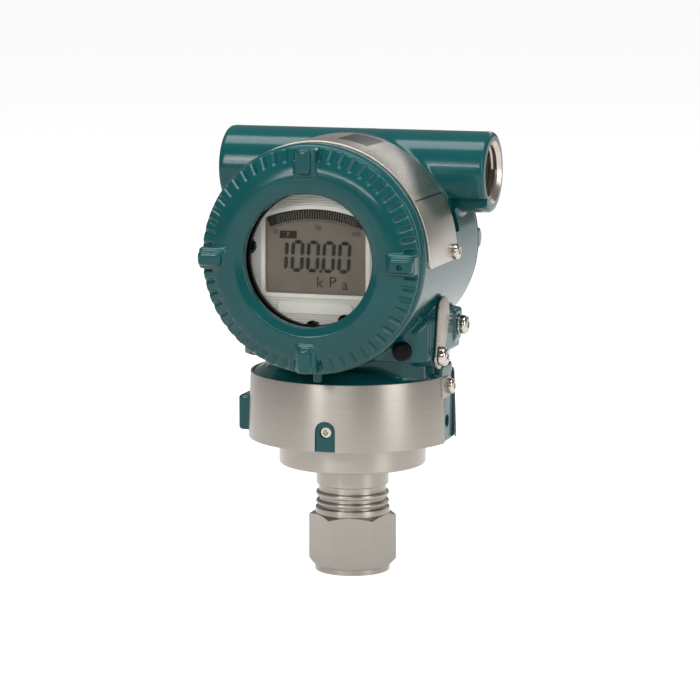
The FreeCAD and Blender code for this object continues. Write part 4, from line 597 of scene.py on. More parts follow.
outer, inner, end = ENTRY_ROOT + SLEEVE, ENTRY_ROOT - SLEEVE, SLEEVE - ENTRY_DEPTH
for side, place in ENTRIES.items():
    sleeve = turned([(12.95, 0.02), (outer, -1.6), (outer, end), (inner, end), (inner, -1.65),
                     (12.85, 0.02)], 96, closed=True)
    coil = moved(thread_coil(10.5, inner, 12), Matrix.Translation((0, 0, -24.0)))
    lining = piece_of(moved(joined([sleeve, coil]), place), "conduit_thread_" + side)
    dress(lining, "bright_steel", BARE_ALUMINIUM, "amplifier_housing")

# %% [markdown]
# ## Screwed necks of the barrel
# Behind each cover a turned neck carries the cover's thread and an O-ring in a groove. It only shows when
# a cover is unscrewed a few turns, so a plain turned ring with its groove is enough.

# %% Screwed necks
NECK_BORE, NECK_RADIUS, SEAL_ROOT = 37.4, 41.5, 39.6
for name, shoulder, place in (("front_neck_thread", BARREL_FRONT, FRONT),
                              ("rear_neck_thread", BARREL_REAR, REAR)):
    neck = turned([(NECK_BORE, shoulder - 1), (NECK_RADIUS, shoulder - 1),
                   (NECK_RADIUS, shoulder + 1.7, 0.2), (SEAL_ROOT, shoulder + 1.7, 0.2),
                   (SEAL_ROOT, shoulder + 3.8, 0.2), (NECK_RADIUS, shoulder + 3.8, 0.2),
                   (NECK_RADIUS, shoulder + 4.5, 0.3), (NECK_BORE, shoulder + 4.5)], 192, closed=True)
    dress(piece_of(moved(neck, place), name), "satin_steel", BARE_ALUMINIUM, "amplifier_housing")

# %% [markdown]
# ## Screw covers
# The cover in front is the piece that takes most care: a cone with thirteen narrow grooves in each
# quarter, four two-step lugs to turn it by, and a bevelled window. It is drawn as a ring, grooved with
# one set of cutters, joined with its lugs and then softened like the casting. The inside is turned last.

# %% Grooves and lugs
FRONT_RIM, REAR_RIM = 46.7, 45.9
RIM_DRAFT, RIM_HEIGHT, RIM_STEP, STEP_HEIGHT = 0.8, 2.2, 1.2, 2.5
CONE_FOOT, CONE_RUN, FACE_HEIGHT = 4.9, 9.1, 9.5
GROOVES_PER_QUARTER, MILL_RADIUS, MILL_LIFT = 13, 1.05, 0.15
LUG_ROUNDING, COVER_VOXEL, COVER_RUBS = 1.5, 0.39, 2
QUARTER = math.pi / 2


def cone_grooves(rim):
    """All the round cutters laid down the cone, between the lugs, as a ball-nosed mill would run."""
    slant = Vector((0, -CONE_RUN, FACE_HEIGHT - CONE_FOOT)).normalized()
    inward = RIGHT.cross(slant)
    foot = Vector((0, rim - RIM_STEP, CONE_FOOT)) - inward * MILL_LIFT
    down_cone = facing(foot, RIGHT, slant)
    mills = []
    for quarter in range(4):
        for i in range(1, GROOVES_PER_QUARTER + 1):
            turn = Matrix.Rotation(QUARTER * (quarter + i / (GROOVES_PER_QUARTER + 1)), 4, "Z")
            mills.append(moved(rod(MILL_RADIUS, -2, 6.2, 24, 0, 1.0), turn @ down_cone))
    return joined(mills)


def lug_block(half, inner, outer, top, draft):
    """Block of a lug at the top of the cover, narrower at its outer face."""
    bm = block((-half, inner, CONE_FOOT - 0.7), (half, outer, top))
    crown = [vert for vert in bm.verts if vert.co.z > top - 0.01]
    middle = Vector((0, (inner + outer) / 2, 0))
    bmesh.ops.scale(bm, vec=(draft, (1 + draft) / 2, 1), verts=crown, space=Matrix.Translation(-middle))
    return bevel(bm, bm.edges[:], LUG_ROUNDING, 4)


def cover_lugs(rim):
    """Four lugs, each a narrow block on a low pad."""
    lugs = []
    for quarter in range(4):
        for lug in (lug_block(3.1, rim - 12.0, rim - 1.6, 13.0, 0.9),
                    lug_block(4.6, rim - 13.4, rim - 1.4, 10.8, 0.94)):
            lugs.append(moved(lug, Matrix.Rotation(quarter * QUARTER, 4, "Z")))
    return lugs


print(4 * GROOVES_PER_QUARTER, "grooves in each cover")

# %% Screw covers
def screw_cover(name, node, rim, face, turnings, place):
    """Cover with its own rim radius and face profile; turnings are cut last and stay crisp."""
    wall, rim_top, clear, step_top = rim - RIM_STEP, rim - RIM_DRAFT, rim + 1, CONE_FOOT - 0.6
    side = [(rim - 0.7, 0), (rim, 0.7, 0.2), (rim_top, RIM_HEIGHT), (wall, STEP_HEIGHT),
            (wall, CONE_FOOT), (wall - CONE_RUN, FACE_HEIGHT, 2.9)]
    ring_shaped = face[-1][0] > 0
    shell = turned(side + face if ring_shaped else [(0, 0)] + side + face, 256, ring_shaped, 8)
    cover = piece_of(shell, name)
    shape_by(cover, "DIFFERENCE", [cone_grooves(rim)])
    shape_by(cover, "UNION", cover_lugs(rim))
    soften(cover, COVER_VOXEL, COVER_RUBS)
    step = turned([(wall, STEP_HEIGHT), (rim_top, RIM_HEIGHT), (clear, RIM_HEIGHT),
                   (clear, step_top), (wall, step_top)], 256, True)
    shape_by(cover, "DIFFERENCE", [step] + turnings)
    place_piece(cover, place)
    dress(cover, "green_enamel", ENAMEL, node, body=node)


COVER_GAP, COVER_BORE, COVER_FLOOR, WINDOW_RADIUS = 1.0, 41.8, 5.0, 26.85
FRONT_COVER = FRONT @ Matrix.Translation((0, 0, BARREL_FRONT + COVER_GAP))
REAR_COVER = REAR @ Matrix.Translation((0, 0, BARREL_REAR + COVER_GAP))
skirt = [(COVER_BORE, -1), (COVER_BORE, 3.7), (40.0, COVER_FLOOR)]
seat = [(36.8, COVER_FLOOR), (36.8, -0.2), (30.6, -0.2), (30.6, COVER_FLOOR)]
glass_seat = turned([(20, -1)] + skirt + seat + [(20, COVER_FLOOR)], 192, True)
dimple = moved(turned([(0, 11.9), (0.6, 11.9, 0.2), (1.3, 13.2), (0, 13.2)], 32),
               Matrix.Translation((39.8, -0.6, 0)))
window_bevel = [(30.3, FACE_HEIGHT, 0.3), (WINDOW_RADIUS, 7.4, 0.3), (WINDOW_RADIUS, 0)]
screw_cover("glazed_cover", "display_cover", FRONT_RIM, window_bevel, [glass_seat, dimple], FRONT_COVER)
hollow = turned([(0, -1)] + skirt + [(0, COVER_FLOOR)], 192)
screw_cover("blank_cover", "terminal_cover", REAR_RIM, [(0, FACE_HEIGHT)], [hollow], REAR_COVER)

# %% [markdown]
# ## Window glass
# The pane is a thick disc held from behind, with its edges eased so that it does not chip. It is turned
# like the rest; only the part inside the cover's bevel shows.

# %% Window glass piece
pane = rod(30.3, -0.2, 4.3, 128, 0.4, 0.4)
dress(piece_of(moved(pane, FRONT_COVER), "window_pane"), "window_glass", GLASS, "window_glass",
      body="display_cover")

# %% [markdown]
# ## Display bezel
# Behind the window sits a moulded cap with an arched opening for the display. Its face carries fine
# horizontal lines, which stop at a plain margin round the display and at a bare tablet below it. The lines
# are real grooves, cut first; the margin and the tablet are then added on top and the openings cut last.

# %% Display bezel
BEZEL_FACE, BEZEL_BACK, BEZEL_FOOT, BEZEL_RADIUS, BEZEL_BORE = 49.6, 48.4, 43.6, 34.0, 32.5
LINE_COUNT, LINE_PITCH, LINE_WIDTH, LINE_DEPTH, LOWEST_LINE = 64, 1.05, 0.52, 0.85, -33.5
ARCH_HALF, ARCH_FOOT, ARCH_SIDE, ARCH_TOP = 21.3, -14.6, 15.7, 19.8
TABLET_HALF, TABLET_LOW, TABLET_HIGH, TABLET_CORNER = 15.6, -22.6, -18.2, 1.4
MODULE_CIRCLE, MODULE_SCREWS, FREE_HOLE = 28.7, (172.0, 8.0, 268.0), 296.4


def arch_outline(margin):
    """Display opening in millimetres about the barrel axis: straight sides and an arched top."""
    half, low, side, top = ARCH_HALF + margin, ARCH_FOOT - margin, ARCH_SIDE + margin, ARCH_TOP + margin
    sag = top - side
    radius = (half ** 2 + sag ** 2) / (2 * sag)
    spread = math.asin(half / radius)
    arch = []
    for i in range(25):
        angle = spread * (1 - i / 12)
        arch.append((radius * math.sin(angle), top - radius + radius * math.cos(angle), 0))
    arch[0] = (half, side, 1.0)
    arch[-1] = (-half, side, 1.0)
    return [(-half, low, 1.2), (half, low, 1.2)] + arch


def tablet_outline(margin):
    """Bare tablet under the display, with round corners."""
    x, low, high = TABLET_HALF + margin, TABLET_LOW - margin, TABLET_HIGH + margin
    return oblong(-x, x, low, high, TABLET_CORNER, TABLET_CORNER)


def on_module(angle, height):
    """Place on the display module's circle of screws, at an angle from +X."""
    turn = math.radians(angle)
    return Matrix.Translation((MODULE_CIRCLE * math.cos(turn), MODULE_CIRCLE * math.sin(turn), height))


cap = turned([(0, BEZEL_FACE), (BEZEL_RADIUS, BEZEL_FACE, 0.8), (BEZEL_RADIUS, BEZEL_FOOT),
              (BEZEL_BORE, BEZEL_FOOT), (BEZEL_BORE, BEZEL_BACK), (0, BEZEL_BACK)], 160)
bezel = piece_of(cap, "ribbed_bezel")
lines = [block((-36, y, BEZEL_FACE - LINE_DEPTH), (36, y + LINE_WIDTH, BEZEL_FACE + 1))
         for y in [LOWEST_LINE + LINE_PITCH * i for i in range(LINE_COUNT)]]
shape_by(bezel, "DIFFERENCE", [joined(lines), prism(tablet_outline(0.5), BEZEL_FACE - 0.6, 60)])
shape_by(bezel, "UNION", [prism(arch_outline(1.6), BEZEL_BACK + 0.1, BEZEL_FACE),
                          prism(tablet_outline(0.0), BEZEL_BACK + 0.1, BEZEL_FACE + 0.12)])
openings = [prism(arch_outline(0.0), 40, 60)]
openings += [moved(rod(3.5, 40, 60, 32), on_module(angle, 0)) for angle in (*MODULE_SCREWS, FREE_HOLE)]
shape_by(bezel, "DIFFERENCE", openings)
place_piece(bezel, FRONT)
dress(bezel, "bezel_plastic", BEZEL_PLASTIC, "indicator_bezel")

# %% [markdown]
# ## Display segments
# A liquid-crystal display shows black segments on a dull brown glass. Each segment is a small plate with
# its ends pointed: a rectangle whose corners are bevelled. Five seven-segment figures, a bar graph under
# the arch and a few small marks lie just proud of the glass, so that they catch a little light.

# %% Display tools
PANEL_FACE, INK, INK_ROOT, LEAN = 48.0, 0.08, 0.05, math.radians(3.5)


def plate_at(x, y, length, width, angle, point, lift=0.0):
    """Thin plate on the display, with its corners bevelled to points."""
    outline = oblong(-length / 2, length / 2, -width / 2, width / 2, point, point)
    plate = prism(outline, PANEL_FACE - INK_ROOT, PANEL_FACE + INK + lift, 1)
    return moved(plate, Matrix.Translation((x, y, 0)) @ Matrix.Rotation(angle, 4, "Z"))


SEGMENTS = {  # across, along and whether it stands upright
    "top": (0, 1, 0), "middle": (0, 0, 0), "bottom": (0, -1, 0), "left_up": (-1, 0.5, 1),
    "right_up": (1, 0.5, 1), "left_low": (-1, -0.5, 1), "right_low": (1, -0.5, 1),
}
ZERO = ("top", "bottom", "left_up", "right_up", "left_low", "right_low")
ONE = ("right_up", "right_low")


def figure(x, y, names, half_width, half_height, stroke):
    """One seven-segment figure, leaning a little to the right."""
    plates = []
    for name in names:
        across, along, upright = SEGMENTS[name]
        centre_x = x + across * half_width + math.tan(LEAN) * along * half_height
        length = half_height - 0.5 if upright else 2 * half_width - 0.7
        angle = math.pi / 2 - LEAN if upright else 0
        plates.append(plate_at(centre_x, y + along * half_height, length, stroke, angle, stroke * 0.45))
    return plates


def written(text, x, y, height):
    """Flat lettering on the display, made a mesh before it is placed."""
    curve = bpy.data.curves.new("writing", "FONT")
    curve.body = text
    curve.size = height / 0.7
    curve.align_x = "CENTER"
    curve.align_y = "CENTER"
    curve.extrude = INK / 2
    holder = bpy.data.objects.new("writing", curve)
    bpy.context.scene.collection.objects.link(holder)
    settled = holder.evaluated_get(bpy.context.evaluated_depsgraph_get())
    mesh = bpy.data.meshes.new_from_object(settled)
    bm = bmesh.new()
    bm.from_mesh(mesh)
    bpy.data.objects.remove(holder)
    bpy.data.curves.remove(curve)
    bpy.data.meshes.remove(mesh)
    bmesh.ops.remove_doubles(bm, verts=bm.verts, dist=0.0001)
    return moved(bm, Matrix.Translation((x, y, PANEL_FACE + INK / 2)))


print(len(SEGMENTS), "segments in a figure")

# %% Display segments
SCALE_HEIGHT, UNIT_HEIGHT = 1.9, 4.4
ink = []
for x, names in ((-14.6, ONE), (-7.9, ZERO), (-1.3, ZERO), (5.3, ZERO), (11.9, ZERO)):
    ink += figure(x, 0.5, names, 2.0, 5.7, 1.55)
ink += [plate_at(1.9, -5.4, 1.2, 1.2, 0, 0.2), plate_at(-11.8, 9.0, 7.2, 3.1, 0, 0.15)]
for text, x, y in (("0", -17.2, 10.0), ("50", 0.8, 12.1), ("100", 16.6, 10.1)):
    ink.append(written(text, x, y, SCALE_HEIGHT))
for text, x, y in (("k", 1.5, -10.0), ("P", 6.9, -9.8), ("a", 12.2, -10.6)):
    ink.append(written(text, x, y, UNIT_HEIGHT))
print(len(ink), "marks on the display")

# %% [markdown]
# The bar graph follows the arch: a black band between two arcs, crossed by fine pale gaps, with a thin
# scale line below it. Sweeping one small face about the arch's centre makes the band in one go, as it made
# the threads.

# %% Bar graph
ARCH_SAG = ARCH_TOP - ARCH_SIDE
ARCH_RADIUS = (ARCH_HALF ** 2 + ARCH_SAG ** 2) / (2 * ARCH_SAG)
ARCH_CENTRE = ARCH_TOP - ARCH_RADIUS


def arc_band(outer, inner, degrees):
    """Flat band between two depths below the arch, spread either side of the middle."""
    spread, low, high = math.radians(degrees), PANEL_FACE - INK_ROOT, PANEL_FACE + INK
    far, near = ARCH_RADIUS - outer, ARCH_RADIUS - inner
    arc = swept([(far, low), (far, high), (near, high), (near, low)], 2 * spread, 48)
    turn = Matrix.Rotation(math.pi / 2 - spread, 4, "Z")
    return moved(arc, Matrix.Translation((0, ARCH_CENTRE, 0)) @ turn)


def across_arch(depth, degrees, length, width, lift=0.0):
    """Thin plate that points at the arch, at a depth below it and an angle from its middle."""
    radius, angle = ARCH_RADIUS - depth, math.radians(degrees)
    return plate_at(radius * math.sin(angle), ARCH_CENTRE + radius * math.cos(angle), length, width,
                    math.pi / 2 - angle, 0, lift)


SCALE_SPREAD, GAP_SPREAD = 20.5, 17.5
ink += [arc_band(0.05, 4.2, 21.5), arc_band(4.75, 4.95, SCALE_SPREAD)]
ink += [across_arch(4.6, SCALE_SPREAD * (i / 5 - 1), 0.7, 0.16) for i in range(11)]
segments = piece_of(moved(joined(ink), FRONT), "display_segments")
dress(segments, "display_glass", DISPLAY_INK)

gaps = [moved(written("P", -11.8, 9.0, SCALE_HEIGHT), Matrix.Translation((0, 0, 0.05)))]
gaps += [across_arch(2.3, GAP_SPREAD * (i / 16 - 1), 3.4, 0.2, 0.03) for i in range(33)]
dress(piece_of(moved(joined(gaps), FRONT), "display_gaps"), "display_glass", PALE_INK)

# %% [markdown]
# ## Base band
# A strip of stainless sheet is wrapped round the foot ring and drawn tight by a screw through its tab. An
# arched notch leaves room for the set screw. The strip is turned as a thin cone, because the ring tapers,
# and then the notch and the gaps over the two pads are cut out as a punch would.

# %% Base band
SHEET, PAD_ROOM, TAB_ROUNDING, TAB_Z = 0.8, PAD_HALF + 0.2, 4.1, 80.2
BAND_FOOT, BAND_FOOT_RADIUS, BAND_TOP, BAND_TOP_RADIUS = 57.4, 42.8, 85.2, 41.87
TAB_PLACE = looking_right(PAD_FACE + 0.05, 0, TAB_Z)

strip = turned([(BAND_FOOT_RADIUS, BAND_FOOT, 0.15), (BAND_FOOT_RADIUS + SHEET, BAND_FOOT, 0.25),
                (BAND_TOP_RADIUS + SHEET, BAND_TOP, 0.25), (BAND_TOP_RADIUS, BAND_TOP, 0.15)], 256, True, 3)
band = piece_of(strip, "base_strip")
punches = [block((20, -PAD_ROOM, 50), (60, PAD_ROOM, 90)),
           block((-60, -PAD_ROOM, 58.0), (-20, PAD_ROOM, 73.5))]
for angle in SET_SCREW_ANGLES:
    arch = prism(oblong(-10, 4.7, -4.25, 4.25, 0, TAB_ROUNDING), 31, 50, 12)
    punches.append(moved(arch, out_of_ring(angle)))
shape_by(band, "DIFFERENCE", punches)
tab = prism(oblong(-9.9, 4.2, -4.2, 4.2, 0, TAB_ROUNDING), 0, SHEET, 12)
shape_by(band, "UNION", [moved(tab, TAB_PLACE)])
dress(band, "satin_steel", BAND_STEEL, "base_band")

# %% [markdown]
# ## Nameplate
# The plate bends over the top half of the barrel and is etched: rows of fine broken lines, one dark field
# near the top and a thin rule. The marks could be painted on an unwrapped picture. Here the material finds
# its way round the curve with the angle about the barrel's axis, so that it needs no picture at all. The
# rows are 1.2 mm apart, which is as fine as the render can show.

# %% Nameplate steel
def overlap(tree, *spans):
    """One where every value lies in its span, and nought elsewhere."""
    mask = 1.0
    for value, low, high in spans:
        span = {0: value, 1: (low + high) / 2, 2: (high - low) / 2}
        inside = add(tree, "Math", span, operation="COMPARE")
        mask = add(tree, "Math", {0: inside.outputs[0], 1: mask}, operation="MULTIPLY").outputs[0]
    return mask


NAMEPLATE_STEEL, tree, shader, place = new_material("etched_stainless_plate", Metallic=1.0)
axes = add(tree, "SeparateXYZ", {"Vector": place})
depth = axes.outputs["Y"]
height = add(tree, "Math", {0: axes.outputs["Z"], 1: BARREL_AXIS_Z * MM}, operation="SUBTRACT")
angle = add(tree, "Math", {0: axes.outputs["X"], 1: height.outputs[0]}, operation="ARCTAN2").outputs[0]
rows = add(tree, "Math", {0: depth, 1: per_mm(1.2)}, operation="MULTIPLY")
row = add(tree, "Math", {0: rows.outputs[0]}, operation="FRACT").outputs[0]
breaks = add(tree, "TexNoise", {"Vector": place, "Scale": per_mm(0.7), "Detail": 1.0}).outputs["Fac"]
etched_rows = overlap(tree, (row, 0.2, 0.65), (breaks, 0.44, 2.0), (angle, 0.42, 0.99),
                      (depth, -45.5 * MM, -9.0 * MM))
field = overlap(tree, (angle, 0.08, 0.36), (depth, -33.0 * MM, -9.0 * MM))
rule = overlap(tree, (angle, 1.035, 1.05), (depth, -45.5 * MM, -8.0 * MM))
marks = add(tree, "Math", {0: field, 1: rule}, operation="MAXIMUM")
faint = add(tree, "Math", {0: etched_rows, 1: 0.6}, operation="MULTIPLY")
dark = add(tree, "Math", {0: marks.outputs[0], 1: faint.outputs[0]}, operation="MAXIMUM")
stretch = add(tree, "Mapping", {"Vector": place, "Scale": (per_mm(30), per_mm(0.35), per_mm(30))})
lines = add(tree, "TexNoise", {"Vector": stretch.outputs["Vector"], "Scale": 1.0, "Detail": 3.0})
bright = add(tree, "Mix", {"Factor": lines.outputs["Fac"], "A": linear("#B4AEA5"),
                           "B": linear("#C8C2B9")}, data_type="RGBA")
tone = add(tree, "Mix", {"Factor": dark.outputs[0], "A": bright.outputs["Result"],
                         "B": linear("#5A5855")}, data_type="RGBA")
tree.links.new(tone.outputs["Result"], shader.inputs["Base Color"])
gloss = add(tree, "MapRange", {"Value": lines.outputs["Fac"], "To Min": 0.3, "To Max": 0.44})
tree.links.new(gloss.outputs["Result"], shader.inputs["Roughness"])
print("made", NAMEPLATE_STEEL.name)

# %% Nameplate
PLATE_RADIUS, PLATE_REAR, PLATE_FRONT, PLATE_FOOT = 46.25, 6.6, 46.8, -3.28
PLATE_FACE = PLATE_RADIUS + SHEET
plate_ring = turned([(PLATE_RADIUS, PLATE_REAR, 0.1), (PLATE_FACE, PLATE_REAR, 0.25),
                     (PLATE_FACE, PLATE_FRONT, 0.25), (PLATE_RADIUS, PLATE_FRONT, 0.1)], 256, True, 3)
plate = piece_of(moved(plate_ring, FRONT), "etched_nameplate")
top_half = prism([(-PLATE_FRONT, PLATE_FOOT, 4.0), (-PLATE_REAR, PLATE_FOOT, 4.0), (-PLATE_REAR, 60),
                  (-PLATE_FRONT, 60)], -60, 60, 12)
shape_by(plate, "INTERSECT", [moved(top_half, looking_right(0, 0, BARREL_AXIS_Z))])
dress(plate, "satin_steel", NAMEPLATE_STEEL, "nameplate")

# %% [markdown]
# ## Process connector and flange
# The fitting is turned from hexagon bar. The hexagon is a six-sided prism that keeps only what lies inside
# a double cone, which is how a lathe chamfers a nut; the foot, the ridges and the neck are one turned
# profile. A flat disc above it carries the sensor.

# %% Process connector
HEX_ACROSS, HEX_TURN, HEX_FOOT, HEX_TOP = 32.0, -105.5, 2.2, 24.7
NECK_TOP, PORT_ROOT = 46.0, 11.3
fitting = piece_of(prism(hexagon(HEX_ACROSS, HEX_TURN, 0.35), HEX_FOOT, HEX_TOP, 3), "hexagon_fitting")
chamfer = turned([(0, 2.1), (15.6, 2.1), (18.6, 5.1), (18.6, 23.2), (15.6, 24.73), (0, 24.73)], 192)
shape_by(fitting, "INTERSECT", [chamfer])
stem = turned([(0, 0), (15.7, 0, 0.5), (15.7, 2.6), (12, 2.6), (12, 24.2), (15.65, 24.2),
               (15.65, 27.2, 0.4), (13.9, 27.2, 0.25), (13.9, 28.4, 0.25), (15.4, 28.4, 0.8),
               (15.4, 30.2, 0.8), (13.9, 30.2, 0.25), (13.9, 31.8, 0.25), (15.4, 31.8, 0.9),
               (15.4, 34.0, 0.9), (14.2, 34.0, 0.3), (14.2, 36.8, 0.3), (15.25, 36.8, 0.6),
               (15.25, NECK_TOP), (0, NECK_TOP)], 160)
shape_by(fitting, "UNION", [stem])
port = turned([(0, -1), (12.6, -1), (12.6, 0), (PORT_ROOT, 1.3), (PORT_ROOT, 20),
               (4, 23), (4, 47), (0, 47)], 96)
shape_by(fitting, "DIFFERENCE", [port])
dress(fitting, "turned_steel", TURNED_STEEL, "process_connector", body="process")
coil = moved(thread_coil(10.3, PORT_ROOT, 9), Matrix.Translation((0, 0, 2.2)))
dress(piece_of(coil, "port_thread"), "turned_steel", TURNED_STEEL, "process_connector", body="process")
flange = turned([(4, NECK_TOP), (30.8, NECK_TOP, 0.9), (30.8, 73.9, 0.5), (17.8, 73.9),
                 (17.8, 55.9), (4, 55.9)], 192, closed=True)
dress(piece_of(flange, "capsule_disc"), "turned_steel", TURNED_STEEL, "capsule_flange", body="process")

# %% [markdown]
# ## Screws
# The small screws have low domed heads with a cross for the driver. One profile is turned to the size of
# each screw and the cross is pressed into it, one blade after the other; a row of places then says where
# each of them sits.

# %% Screws
CROSS_TURN = 0.4


def pan_screw(shank, head, height, length):
    """Pan-head screw on Z with its head's underside at height 0, and the two blades of its cross."""
    screw = turned([(0, -length), (shank, -length, 0.3), (shank, 0), (head, 0, 0.15),
                    (head, height, 0.55 * height), (0, height + 0.001)], 48)
    blades = []
    for turn in (CROSS_TURN, CROSS_TURN + QUARTER):
        blade = block((-0.55 * head, -0.13 * head, 0.35 * height), (0.55 * head, 0.13 * head, height + 1))
        deep = [vert for vert in blade.verts if vert.co.z < height]
        bmesh.ops.scale(blade, vec=(0.5, 0.7, 1), verts=deep)
        blades.append(moved(blade, Matrix.Rotation(turn, 4, "Z")))
    return screw, blades


def fit_screws(name, node, shapes, places, slot="bright_steel", finish=BRIGHT_STEEL):
    """Copies of a screw at all its places, as one piece, with the cutters for its drive taken out."""
    screw, cutters = shapes
    screws = piece_of(joined([moved(screw.copy(), place) for place in places]), name)
    for cutter in cutters:
        shape_by(screws, "DIFFERENCE", [joined([moved(cutter.copy(), place) for place in places])])
    dress(screws, slot, finish, node)


M3, M4, M5 = pan_screw(1.2, 2.4, 1.8, 7.0), pan_screw(1.6, 3.2, 2.4, 7.0), pan_screw(2.0, 4.0, 3.0, 9.0)
PLATE_SCREW_Y = -10.8
EARTH_PLACE = looking_right(44.0, 8.5, 104.8)
FLAP_PLACE = looking_right(SHELF_SIDE + 0.3, FLAP_Y, FLAP_Z)
ON_SHEET, ON_FLAP = Matrix.Translation((0, 0, SHEET)), Matrix.Translation((0, 0, 1.3))
fit_screws("band_screw", "band_screws", M4, [TAB_PLACE @ ON_SHEET])
fit_screws("plate_screws", "nameplate_screws", M4, [
    looking_right(PLATE_FACE, PLATE_SCREW_Y, BARREL_AXIS_Z),
    looking_left(-PLATE_FACE, PLATE_SCREW_Y, BARREL_AXIS_Z)])
fit_screws("earth_screw", "ground_screw", M5, [EARTH_PLACE @ ON_SHEET])
fit_screws("flap_screw", "zero_flap_screw", M5, [FLAP_PLACE @ ON_FLAP])
fit_screws("module_screws", "indicator_screws", M3,
           [FRONT @ on_module(angle, BEZEL_FOOT) for angle in MODULE_SCREWS], "black_steel", BLACK_STEEL)
washer = turned([(2.2, 0, 0.1), (4.5, 0, 0.2), (4.5, SHEET, 0.2), (2.2, SHEET, 0.1)], 64, closed=True)
dress(piece_of(moved(washer, EARTH_PLACE), "earth_washer"), "bright_steel", BRIGHT_STEEL, "ground_washer")

# %% [markdown]
# The set screws in the ring and the bolts that lock the covers have a hexagon socket instead. It is a
# six-sided prism, cut into each turned screw from its end.

# %% Socket screws
def socket_screw(profile, across, floor):
    """Screw turned from a profile, and its hexagon socket from a floor to its end."""
    return turned(profile, 48), [prism(hexagon(across), floor, profile[-1][1] + 1)]


def under_barrel(angle, y):
    """Place on the barrel's axis that looks out at an angle from straight down."""
    turn = math.radians(angle)
    return facing((0, y, BARREL_AXIS_Z), BACK, Vector((math.sin(turn), 0, -math.cos(turn))))


set_screw = socket_screw([(0, 29.0), (1.4, 29.0), (2.4, 30.0), (2.4, 41.55, 0.3), (0, 41.55)], 2.5, 38.5)
fit_screws("ring_set_screws", "swivel_set_screws", set_screw,
           [out_of_ring(angle) for angle in SET_SCREW_ANGLES])
lock_bolt = socket_screw([(0, 40.2), (1.5, 40.2), (1.5, 46.3), (2.05, 46.3, 0.2), (2.05, 51.7, 0.3),
                          (0, 51.7)], 2.0, 49.5)
fit_screws("lock_bolts", "cover_lock_bolts", lock_bolt,
           [under_barrel(-1.9, -41.0), under_barrel(-38.0, 26.6)], "green_enamel", ENAMEL)

# %% [markdown]
# ## Flap and plug
# A tongue of steel sheet covers the zero adjustment and swings aside on its screw. Beside it a black
# plastic plug closes a spare hole; its head is a low dome. Both are small, yet they stand out against
# the green, so their edges are broken like those of the real parts.

# %% Flap and plug
flap = prism(flap_outline(0.0), 0.0, 1.0)
rim = [edge for edge in flap.edges if edge.calc_face_angle(0.0) > math.radians(50)]
bevel(flap, rim, 0.18, 2)
dress(piece_of(moved(flap, FLAP_PLACE), "zero_cover_flap"), "satin_steel", FLAP_STEEL, "zero_flap",
      body="zero_flap")
PLUG_X, PLUG_Z = 33.17, 99.82
plug = turned([(0, -6), (2.4, -6, 0.4), (2.4, 0), (4.0, 0, 0.3), (4.0, 2.0, 1.3), (0, 2.0)], 64)
plug_place = facing((PLUG_X, -SHELF_FRONT, PLUG_Z), RIGHT, -BACK)
dress(piece_of(moved(plug, plug_place), "spare_hole_plug"), "black_plastic", BLACK_PLASTIC,
      "blanking_plug")

# %% [markdown]
# ## Finishes for the parts inside
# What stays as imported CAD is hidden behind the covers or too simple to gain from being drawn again. Those
# parts keep their meshes and only get the finish of their real material.

# %% Finishes for the parts inside
FINISHES = (
    (RUBBER, ("swivel_o_ring", "window_gasket", "front_o_ring", "rear_o_ring")),
    (BRIGHT_STEEL, ("sensor_diaphragm", "sensor_cell", "sensor_header", "zero_adjust_screw",
                    "terminal_screws", "terminal_block_screws", "inner_ground_screw")),
    (BLACK_PLASTIC, ("lead_socket", "sensor_lead", "board_connector", "wall_feedthrough",
                     "terminal_block")),
    (LAMINATE, ("indicator_board", "amplifier_board")),
    (BRASS, ("indicator_spacers", "board_spacers")),
    (BLACK_STEEL, ("window_retainer",)),
    (DISPLAY_GLASS, ("lcd_panel",)),
)
for material, names in FINISHES:
    for name in names:
        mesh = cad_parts[name].data
        mesh.materials.clear()
        mesh.materials.append(material)
    print(material.name, "on", len(names), "parts")

# %% [markdown]
# ## Studio
# The photograph is a product shot on white. A wide pale floor runs past the edge of the picture, so it is
# both table and background. Seen by the camera and in reflections it is lifted to white; for all other
# light it stays an ordinary matt floor, which is why the object still has a soft shadow.

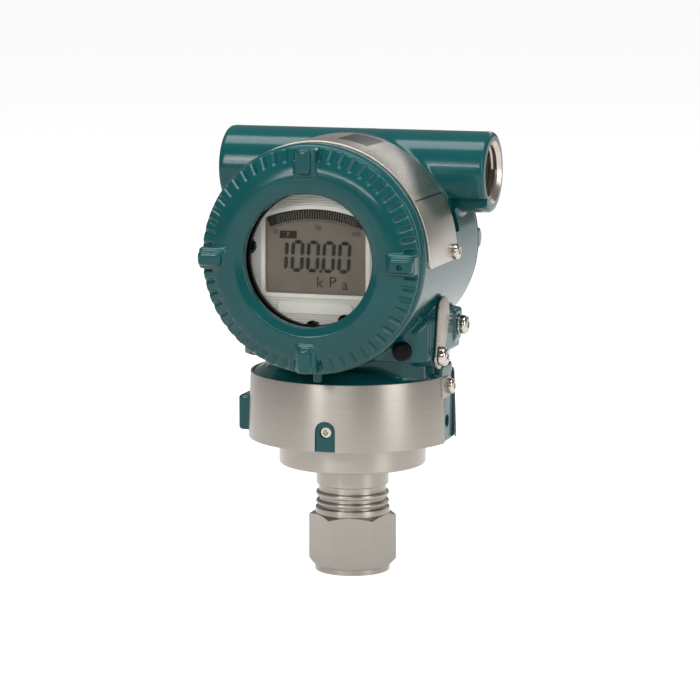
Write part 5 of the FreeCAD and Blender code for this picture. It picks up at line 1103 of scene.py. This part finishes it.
# %% Studio floor
FLOOR_SIZE, FLOOR_LIFT = 12.0, 0.82
white_floor, tree, shader, _ = new_material(
    "white_studio_floor", Roughness=0.9, Specular_IOR_Level=0.0, Base_Color=linear("#C4C4C3"),
    Emission_Color=(1, 1, 1, 1))
path = add(tree, "LightPath")
seen = path.outputs["Is Camera Ray"]
for ray in ("Is Glossy Ray", "Is Transmission Ray"):
    seen = add(tree, "Math", {0: seen, 1: path.outputs[ray]}, operation="MAXIMUM").outputs[0]
lift = add(tree, "Math", {0: seen, 1: FLOOR_LIFT}, operation="MULTIPLY")
tree.links.new(lift.outputs[0], shader.inputs["Emission Strength"])
floor_shape = bmesh.new()
bmesh.ops.create_grid(floor_shape, x_segments=1, y_segments=1, size=FLOOR_SIZE / MM)
floor = piece_of(floor_shape, "studio_floor")
floor.data.materials.append(white_floor)
print("floor reaches", max(vert.co.x for vert in floor.data.vertices), "m to each side")

# %% [markdown]
# ## Light
# Soft boxes do the rest: one broad box overhead draws the long pale stripe on the tube, a low strip above
# the camera draws the thin ones on the cover, and tall boxes at the left and right show the steel's
# roundness. A weak one behind keeps the nameplate from going dark, and a plain grey world fills the
# shadows.

# %% Light
WORLD_GREY = 0.24
world = bpy.data.worlds.new("plain_grey")
world.use_nodes = True
world.node_tree.nodes["Background"].inputs["Color"].default_value = (WORLD_GREY, WORLD_GREY, WORLD_GREY, 1)
bpy.context.scene.world = world


def soft_box(name, place, aim, width, height, power):
    """Oblong lamp at a place, turned to shine at its aim; sizes in metres, power in watts."""
    lamp = bpy.data.lights.new(name, "AREA")
    lamp.shape = "RECTANGLE"
    lamp.size = width
    lamp.size_y = height
    lamp.energy = power
    holder = bpy.data.objects.new(name, lamp)
    holder.location = place
    holder.rotation_euler = (Vector(place) - Vector(aim)).to_track_quat("Z", "Y").to_euler()
    bpy.context.scene.collection.objects.link(holder)


soft_box("overhead", (0.0, -0.12, 1.3), (0.0, 0.0, 0.1), 1.3, 0.55, 14.0)
soft_box("window_strip", (-0.1, -1.4, 0.74), (0.0, 0.0, 0.14), 1.0, 0.1, 5.0)
soft_box("key_left", (-0.55, -1.35, 0.65), (0.0, 0.0, 0.1), 0.2, 0.6, 4.0)
soft_box("fill_right", (1.1, -0.5, 0.5), (0.0, 0.0, 0.1), 0.5, 0.8, 5.0)
soft_box("rim_back", (0.3, 1.5, 0.8), (0.0, 0.0, 0.14), 1.2, 0.3, 2.0)
print("lights placed")
